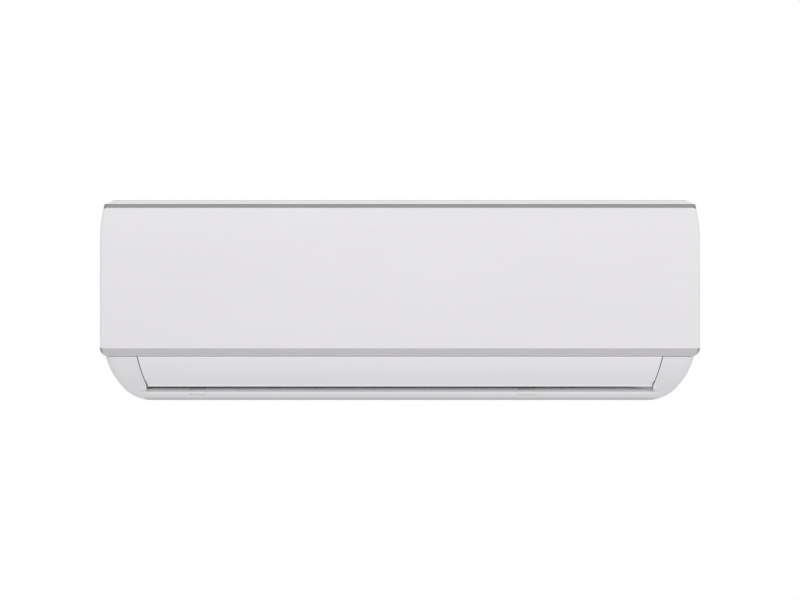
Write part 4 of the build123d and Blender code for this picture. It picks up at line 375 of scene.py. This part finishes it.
boardLook = {
    "mask": paint(24, 92, 52), "track": paint(44, 124, 70), "solder": paint(196, 198, 196),
    "rows": {
        "Scale": 90.0, "Mortar Size": 0.09, "Mortar Smooth": 0.1, "Brick Width": 0.9, "Row Height": 0.35,
    },
    "shift": {"offset": 0.37, "squash": 1.6, "squash_frequency": 3},
    "pads": 210.0, "padsLoose": 0.6, "padSize": 0.16, "metal": 0.9, "rough": 0.34, "glossMore": 0.08,
    "coat": 0.3, "trackShare": 0.6, "solderShare": 0.4, "strength": 0.25, "depth": 0.0002,
}


def boardFinish(name, look):
    # Circuit board: green mask, lighter where copper tracks run under it in a grid of short straight steps,
    # with small round solder pads
    made = Finish(name)
    where = made.place()
    upright = made.node("ShaderNodeMapping", None, {"Vector": where, "Rotation": (0, math.radians(90), 0)})
    brick = made.node("ShaderNodeTexBrick", look["shift"], {"Vector": upright, **look["rows"]}, out="Fac")
    pads = made.node("ShaderNodeTexVoronoi", None, {
        "Vector": where, "Scale": look["pads"], "Randomness": look["padsLoose"],
    }, out="Distance")
    solder = pads < look["padSize"]
    mask = made.blend(brick, look["mask"], look["track"])
    made.feed(Base_Color=made.blend(solder, mask, look["solder"]), Metallic=solder * look["metal"])
    made.feed(Roughness=look["rough"] - look["glossMore"] * brick, Coat_Weight=look["coat"])
    made.bump(brick * look["trackShare"] + solder * look["solderShare"], look["strength"], look["depth"])
    return made.material


finishes = {
    "white_abs": mouldedPlastic("panelWhite", plasticLook["panel"]),
    "casing_abs": mouldedPlastic("casingWhite", plasticLook["casing"]),
    "inner_plastic": mouldedPlastic("chassisGrey", plasticLook["inner"]),
    "vane_plastic": mouldedPlastic("vaneGrey", plasticLook["vane"]),
    "motor_white": mouldedPlastic("resinWhite", plasticLook["motor"]),
    "fan_plastic": mouldedPlastic("fanGrey", plasticLook["fan"]),
    "silver_trim": paintedTrim("silverLacquer", trimLook["silver"]),
    "grey_trim": paintedTrim("greyLacquer", trimLook["grey"]),
    "galvanised": sheetMetal("zincSheet", metalLook["zinc"]),
    "steel": sheetMetal("plainSteel", metalLook["steel"]),
    "fin_aluminium": sheetMetal("coatedFin", metalLook["fin"]),
    "copper": copperTube("copperTube", tubeLook["copper"]),
    "brass_fitting": copperTube("turnedBrass", tubeLook["brass"]),
    "rubber_black": rubberFinish("blackRubber", paint(40, 40, 41)),
    "filter_plastic": mouldedPlastic("filterGrey", plasticLook["filter"]),
    "board_green": boardFinish("boardGreen", boardLook),
    "part_black": rubberFinish("partBlack", paint(52, 52, 54)),
    "sensor_resin": rubberFinish("sensorBlack", paint(46, 44, 46)),
}
louverWhite = mouldedPlastic("louverWhite", plasticLook["louver"])
capWhite = mouldedPlastic("capWhite", plasticLook["cap"])

ownFinish = {"louver": louverWhite, "screw_caps": capWhite}
slotOf = {entry["node"]: entry["material_slot"] for entry in frame["record"]["subparts"]}
for name, thing in nodes.items():
    thing.data.materials.clear()
    thing.data.materials.append(ownFinish.get(name, finishes[slotOf[name]]))
print("finishes given to", len(nodes), "nodes")


weldDistance = 1e-6  # metres, under which two corners are one


def addPiece(name, points, faces, material, body, slot, smooth=None):
    # A finished mesh piece at the origin, riding on one of the frame's bodies; one that is shaded smooth
    # is welded first and keeps an edge wherever its faces meet at more than smooth degrees
    mesh = bpy.data.meshes.new(name)
    mesh.from_pydata(points.reshape(-1, 3).tolist(), [], faces.tolist())
    mesh.validate()
    mesh.materials.append(material)
    thing = bpy.data.objects.new(name, mesh)
    bpy.context.scene.collection.objects.link(thing)
    if smooth is not None:
        work = bmesh.new()
        work.from_mesh(mesh)
        loose = [vertex for vertex in work.verts if not vertex.link_faces]
        bmesh.ops.delete(work, geom=loose, context="VERTS")
        bmesh.ops.remove_doubles(work, verts=work.verts, dist=weldDistance)
        bmesh.ops.recalc_face_normals(work, faces=work.faces)
        work.to_mesh(mesh)
        work.free()
        mesh.shade_smooth()
        mesh.set_sharp_from_angle(angle=math.radians(smooth))
    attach(thing, body)
    return thing


boxFaces = np.array([(0, 1, 2, 3), (7, 6, 5, 4), (0, 4, 5, 1), (1, 5, 6, 2), (2, 6, 7, 3), (3, 7, 4, 0)])


def boxes(right, left):
    # Many boxes at once, each from the four corners of its right end and the four of its left end
    points = np.concatenate([right, left], axis=1)
    faces = (boxFaces[None] + 8 * np.arange(len(points))[:, None, None]).reshape(-1, 4)
    return points.reshape(-1, 3), faces


def spot(across, out, up):
    # Points given as x, distance out from the wall and height over the casing's underside, all in mm
    across, out, up = np.broadcast_arrays(across, out, up)
    return np.stack([across, -out, up - originHeight], axis=-1) / 1000


louverSkin = {
    "low": 22.0, "high": 70.4, "shell": 88.9, "centre": (118.0, 89.0), "seam": 1.25,
    "columns": 90, "rows": 26,
    "rolled": [(0.9, 0.0), (0.42, 0.06), (0.12, 0.26), (0.0, 0.6), (0.0, 1.8)],
    "openingHeights": [23.2, 48.9, 72.6], "openingHalves": [407.8, 417.3, 424.0],
    "drawnIn": {"most": 1.9, "height": 26.5, "spread": 3.4},
    "endShare": 0.998, "edgeShare": 0.02, "sharp": 40,
}


def louverHalf(height, look):
    # Half the louver's width: the opening's side, a parabola through three heights, less an even seam,
    # and drawn in near the hinge by most * exp(-(distance / spread) ** 2), where the corner swings inside
    opening = np.polyfit(look["openingHeights"], look["openingHalves"], 2)
    drawn = look["drawnIn"]
    drawnIn = drawn["most"] * np.exp(-((height - drawn["height"]) / drawn["spread"]) ** 2)
    return np.polyval(opening, np.maximum(height, look["openingHeights"][0])) - look["seam"] - drawnIn


def makeLouverFace(look):
    # The louver's outer skin: a grid bent on a circle about the belly's centre, its rim rolled in by steps
    end, edge = look["endShare"], look["edgeShare"]
    share = np.concatenate([[-1, -end], np.linspace(-1, 1, look["columns"])[1:-1], [end, 1]])
    rise = np.concatenate([[0, edge], np.linspace(0, 1, look["rows"])[1:-1], [1 - edge, 1]])
    out, up = look["centre"]
    sheets = []
    for inset, depth in look["rolled"]:
        height = look["low"] + inset + (look["high"] - look["low"] - 2 * inset) * rise
        reach = out + np.sqrt((look["shell"] - depth) ** 2 - (up - height) ** 2)
        across = share[None, :] * (louverHalf(height, look) - inset)[:, None]
        sheets.append(spot(across, reach[:, None], height[:, None]))
    rows, columns = sheets[0].shape[:2]
    index = np.arange(rows * columns).reshape(rows, columns)
    grid = np.stack([index[:-1, :-1], index[:-1, 1:], index[1:, 1:], index[1:, :-1]], axis=-1).reshape(-1, 4)
    loop = np.concatenate([index[0, :-1], index[:-1, -1], index[-1, :0:-1], index[:0:-1, 0]])
    ahead = np.roll(loop, -1)
    count = rows * columns
    ring = np.stack([loop, ahead, ahead + count, loop + count], axis=-1)
    rims = [ring + step * count for step in range(len(sheets) - 1)]
    back = grid[:, ::-1] + (len(sheets) - 1) * count
    points = np.concatenate([sheet.reshape(-1, 3) for sheet in sheets])
    faces = np.concatenate([grid] + rims + [back])
    addPiece("louverFace", points, faces, louverWhite, "louver", "casing_abs", look["sharp"])


finLook = {
    "pitch": 1.4, "sheet": 0.13, "left": -398.0, "right": 300.0, "leftGap": 0.2, "rightGap": 0.3,
    "depth": 26.0, "lean": 0.12, "mostLean": 0.2, "seed": 5,
    "front": ((173.0, 116.0), (173.0, 212.0)),
    "upper": ((166.0, 222.0), (116.0, 282.0)),
    "rear": ((88.0, 286.0), (34.0, 222.0)),
}


def makeFins(look):
    # Thin plates side by side: each is the coil block's rectangle, at the fin pitch and with a slight lean
    first = look["left"] + look["leftGap"]
    lowest = np.arange(first, look["right"] - look["sheet"] - look["rightGap"], look["pitch"])
    lean = np.random.default_rng(look["seed"]).normal(0, look["lean"], len(lowest))
    shift = np.clip(lean, -look["mostLean"], look["mostLean"])[:, None] * np.array([0, 1, 1, 0])[None, :]
    left = lowest[:, None] + shift
    for name in ("front", "upper", "rear"):
        start, end = np.array(look[name])
        along = (end - start) / np.hypot(*(end - start))
        across = np.array([along[1], -along[0]]) * look["depth"] / 2
        section = np.stack([start - across, start + across, end + across, end - across])
        out, up = section[None, :, 0], section[None, :, 1]
        plates = boxes(spot(left + look["sheet"], out, up), spot(left, out, up))
        stack = addPiece("fins_" + name, *plates, finishes["fin_aluminium"], "unit", "fin_aluminium")
        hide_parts("evaporator_fins_" + name)


filterLook = {
    "route": [(193.0, 119.0), (193.0, 246.0), (141.0, 297.0), (84.0, 297.0)], "bend": 18.0, "bendSteps": 7,
    "frame": 3.0, "border": 7.0, "rib": 3.0, "thread": 0.36, "mesh": 2.1,
    "bars": [(2.5, 5.0), (46.0, 3.0), (86.0, 3.0), (126.0, 3.0), (167.0, 3.0), (204.0, 3.0)],
    "lastBar": (2.5, 5.0), "barInset": 1.0, "netInset": 2.0, "netMargin": 4.0,
    "handle": {"half": 20.0, "out": (193.5, 202.0), "low": 119.0, "lip": 8.0, "thick": 2.0, "gripInset": 4.0},
    "rounding": 0.0004, "roundingSteps": 2,
}
netGrey = mouldedPlastic("netGrey", plasticLook["net"])


def softRoute(points, bend, steps):
    # Straight runs joined by arcs: an arc starts and ends bend * tan(turn / 2) from its corner
    points = np.array(points)
    route = [points[:1]]
    for before, corner, after in zip(points[:-2], points[1:-1], points[2:]):
        into = (corner - before) / np.hypot(*(corner - before))
        away = (after - corner) / np.hypot(*(after - corner))
        turn = math.acos(into @ away)
        side = np.array([-into[1], into[0]]) * np.sign(into[0] * away[1] - into[1] * away[0])
        start = corner - into * bend * math.tan(turn / 2)
        angle = np.linspace(0, turn, steps)[:, None]
        route.append(start + side * bend * (1 - np.cos(angle)) + into * bend * np.sin(angle))
    return np.concatenate(route + [points[-1:]])


def routeNormals(route):
    # The square direction at each point: the mean of the two runs that meet there, turned a quarter
    runs = np.diff(route, axis=0)
    runs /= np.hypot(runs[:, 0], runs[:, 1])[:, None]
    mean = np.concatenate([runs[:1], (runs[:-1] + runs[1:]) / 2, runs[-1:]])
    mean /= np.hypot(mean[:, 0], mean[:, 1])[:, None]
    return np.stack([mean[:, 1], -mean[:, 0]], axis=-1)


def longBars(lows, width, thick, route):
    # Bars that follow the route, each a rectangle of width by thick carried along it
    normal = routeNormals(route) * thick / 2
    inner, outer = route - normal, route + normal
    lows = np.array(lows)[:, None]
    corners = ((lows, inner), (lows + width, inner), (lows + width, outer), (lows, outer))
    points = np.stack([spot(across, edge[None, :, 0], edge[None, :, 1]) for across, edge in corners], axis=2)
    bars, stations = points.shape[:2]
    index = np.arange(bars * stations * 4).reshape(bars, stations, 4)
    turned = np.roll(index, -1, axis=2)
    sides = np.stack([index[:, :-1], turned[:, :-1], turned[:, 1:], index[:, 1:]], axis=-1).reshape(-1, 4)
    ends = np.concatenate([index[:, 0, ::-1], index[:, -1]])
    return points.reshape(-1, 3), np.concatenate([sides, ends])


def crossBars(places, widths, thick, low, high, route):
    # Bars across the filter at given lengths along the route, each width long on it and thick across it
    runs = np.diff(route, axis=0)
    size = np.hypot(runs[:, 0], runs[:, 1])
    reached = np.concatenate([[0], np.cumsum(size)])
    step = np.clip(np.searchsorted(reached, places, side="right") - 1, 0, len(runs) - 1)
    along = runs[step] / size[step][:, None]
    middle = route[step] + along * (np.array(places) - reached[step])[:, None]
    normal = np.stack([along[:, 1], -along[:, 0]], axis=-1) * thick / 2
    along = along * np.array(widths)[:, None] / 2
    section = np.stack([middle - along - normal, middle + along - normal,
                        middle + along + normal, middle - along + normal], axis=1)
    return boxes(*(spot(end, section[..., 0], section[..., 1]) for end in (high, low)))


def joined(parts):
    # Several point and face sets made one
    points, faces, count = [], [], 0
    for somePoints, someFaces in parts:
        points.append(somePoints)
        faces.append(someFaces + count)
        count += len(somePoints)
    return np.concatenate(points), np.concatenate(faces)


def makeFilter(look, name, low, high):
    # A filter's frame with its ribs, bars and handle, and the woven net of single threads inside it
    route = softRoute(look["route"], look["bend"], look["bendSteps"])
    length = np.hypot(*np.diff(route, axis=0).T).sum()
    third = (high - low) / 3
    handle = look["handle"]
    gripLow = (low + high) / 2 - handle["half"]
    gripWidth = 2 * handle["half"]
    halfThick = handle["thick"] / 2
    near, far = handle["out"]
    plate = np.array([[near, handle["low"] + halfThick], [far, handle["low"] + halfThick]])
    grip = np.array([[far - halfThick, handle["low"]], [far - halfThick, handle["low"] + handle["lip"]]])
    places, widths = zip(*look["bars"], (length - look["lastBar"][0], look["lastBar"][1]))
    ribs = [low + third - look["rib"] / 2, high - third - look["rib"] / 2]
    inset = handle["gripInset"]
    solid = joined([
        longBars([low, high - look["border"]], look["border"], look["frame"], route),
        longBars(ribs, look["rib"], look["frame"], route),
        crossBars(places, widths, look["frame"], low + look["barInset"], high - look["barInset"], route),
        longBars([gripLow], gripWidth, handle["thick"], plate),
        longBars([gripLow + inset], gripWidth - 2 * inset, handle["thick"], grip),
    ])
    piece = addPiece(name + "_frame", *solid, finishes["filter_plastic"], name, "filter_plastic")
    edge = piece.modifiers.new("edge", "BEVEL")
    edge.width = look["rounding"]
    edge.segments = look["roundingSteps"]
    thread = look["thread"]
    warp = np.arange(low + look["border"], high - look["border"], look["mesh"])
    weft = np.arange(look["netMargin"], length - look["netMargin"], look["mesh"])
    ends = (low + look["netInset"], high - look["netInset"])
    net = joined([
        longBars(warp, thread, thread, route),
        crossBars(weft, np.full(len(weft), thread), thread, *ends, route),
    ])
    addPiece(name + "_net", *net, netGrey, name, "filter_plastic")
    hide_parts("air_" + name)


makeLouverFace(louverSkin)
makeFins(finLook)
for name in ("filter_left", "filter_right"):
    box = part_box("air_" + name)
    makeFilter(filterLook, name, box[0].x * 1000, box[1].x * 1000)
print("louver face, fins and filters made")


stageLook = {
    "floorHeight": -1.25, "floorSize": 60.0, "floorScale": 3.0, "floorRough": 0.9,
    "floorDark": paint(236, 236, 237), "floorLight": paint(240, 240, 240), "whiteness": 0.8, "ambient": 0.80,
}


def makeFloor(look):
    # A wide pale sheet, far below the unit, which lightens to white for the camera but keeps the shadow;
    # from underneath it is see-through
    size, height = look["floorSize"], look["floorHeight"]
    corners = [(-size, -size, height), (size, -size, height), (size, size, height), (-size, size, height)]
    mesh = bpy.data.meshes.new("floor")
    mesh.from_pydata(corners, [], [(0, 1, 2, 3)])
    floor = bpy.data.objects.new("floor", mesh)
    bpy.context.scene.collection.objects.link(floor)
    made = Finish("paleFloor")
    colour = made.blend(made.noise(look["floorScale"]), look["floorDark"], look["floorLight"])
    made.feed(Base_Color=colour, Roughness=look["floorRough"])
    glow = made.node("ShaderNodeEmission", None, {"Color": white, "Strength": 1.0})
    bright = made.node("ShaderNodeLightPath", out="Is Camera Ray") * look["whiteness"]
    pale = Wire(made.tree, made.shader.outputs[0])
    mixed = made.node("ShaderNodeMixShader", None, {0: bright, 1: pale, 2: glow})
    clear = made.node("ShaderNodeBsdfTransparent")
    under = made.node("ShaderNodeNewGeometry", out="Backfacing")
    shown = made.node("ShaderNodeMixShader", None, {0: under, 1: mixed, 2: clear})
    plug(made.tree, shown, made.output.inputs["Surface"])
    mesh.materials.append(made.material)


def makeWorld(look):
    # White where the camera, a mirror or glass sees it, and a softer even light on the object
    world = bpy.data.worlds.new("studio")
    bpy.context.scene.world = world
    world.use_nodes = True
    tree = world.node_tree
    sky = tree.nodes["Background"]
    sky.inputs["Color"].default_value = white
    sky.inputs["Strength"].default_value = look["ambient"]
    plain = tree.nodes.new("ShaderNodeBackground")
    plain.inputs["Color"].default_value = white
    path = tree.nodes.new("ShaderNodeLightPath")
    direct = Wire(tree, path.outputs["Is Camera Ray"])
    for ray in ("Is Glossy Ray", "Is Transmission Ray"):
        direct = direct.operate("MAXIMUM", direct, Wire(tree, path.outputs[ray]))
    mixed = tree.nodes.new("ShaderNodeMixShader")
    plug(tree, direct, mixed.inputs[0])
    tree.links.new(sky.outputs[0], mixed.inputs[1])
    tree.links.new(plain.outputs[0], mixed.inputs[2])
    tree.links.new(mixed.outputs[0], tree.nodes["World Output"].inputs["Surface"])


lampAim = -0.1  # y in metres of the unit's middle
lampLook = {
    "key": {"spot": (-0.9, -2.6, 1.9), "size": 2.4, "power": 16.0},
    "fill": {"spot": (1.8, -2.4, 0.2), "size": 2.0, "power": 8.0},
    "rim": {"spot": (0.0, 0.8, 2.4), "size": 1.6, "power": 4.0},
}


def makeLamp(name, look):
    # A soft square lamp aimed at the unit's middle
    lamp = bpy.data.lights.new(name, "AREA")
    lamp.size = look["size"]
    lamp.energy = look["power"]
    thing = bpy.data.objects.new(name, lamp)
    thing.location = look["spot"]
    x, y, z = look["spot"]
    y -= lampAim
    thing.rotation_euler = (math.atan2(math.hypot(x, y), z), 0, math.atan2(x, -y))
    bpy.context.scene.collection.objects.link(thing)


cameraLook = {
    "distance": 40.0, "front": -0.2, "metresPerPixel": 0.0016083, "middle": (0.0002, 0.0012),
    "sensor": 36.0, "pixels": 800, "farthest": 120.0,
}


def makeCamera(look):
    # A long lens square to the unit, framed so that one pixel of 800 spans the measured length at the panel
    camera = bpy.data.cameras.new("camera")
    camera.sensor_width = look["sensor"]
    camera.lens = look["sensor"] * look["distance"] / (look["pixels"] * look["metresPerPixel"])
    camera.clip_end = look["farthest"]
    thing = bpy.data.objects.new("camera", camera)
    thing.location = (look["middle"][0], look["front"] - look["distance"], look["middle"][1])
    thing.rotation_euler = (math.radians(90), 0, 0)
    bpy.context.scene.collection.objects.link(thing)
    bpy.context.scene.camera = thing


makeWorld(stageLook)
makeFloor(stageLook)
for name, look in lampLook.items():
    makeLamp(name, look)
makeCamera(cameraLook)
bpy.context.scene.view_settings.view_transform = "Standard"
print("stage, lamps and camera ready")
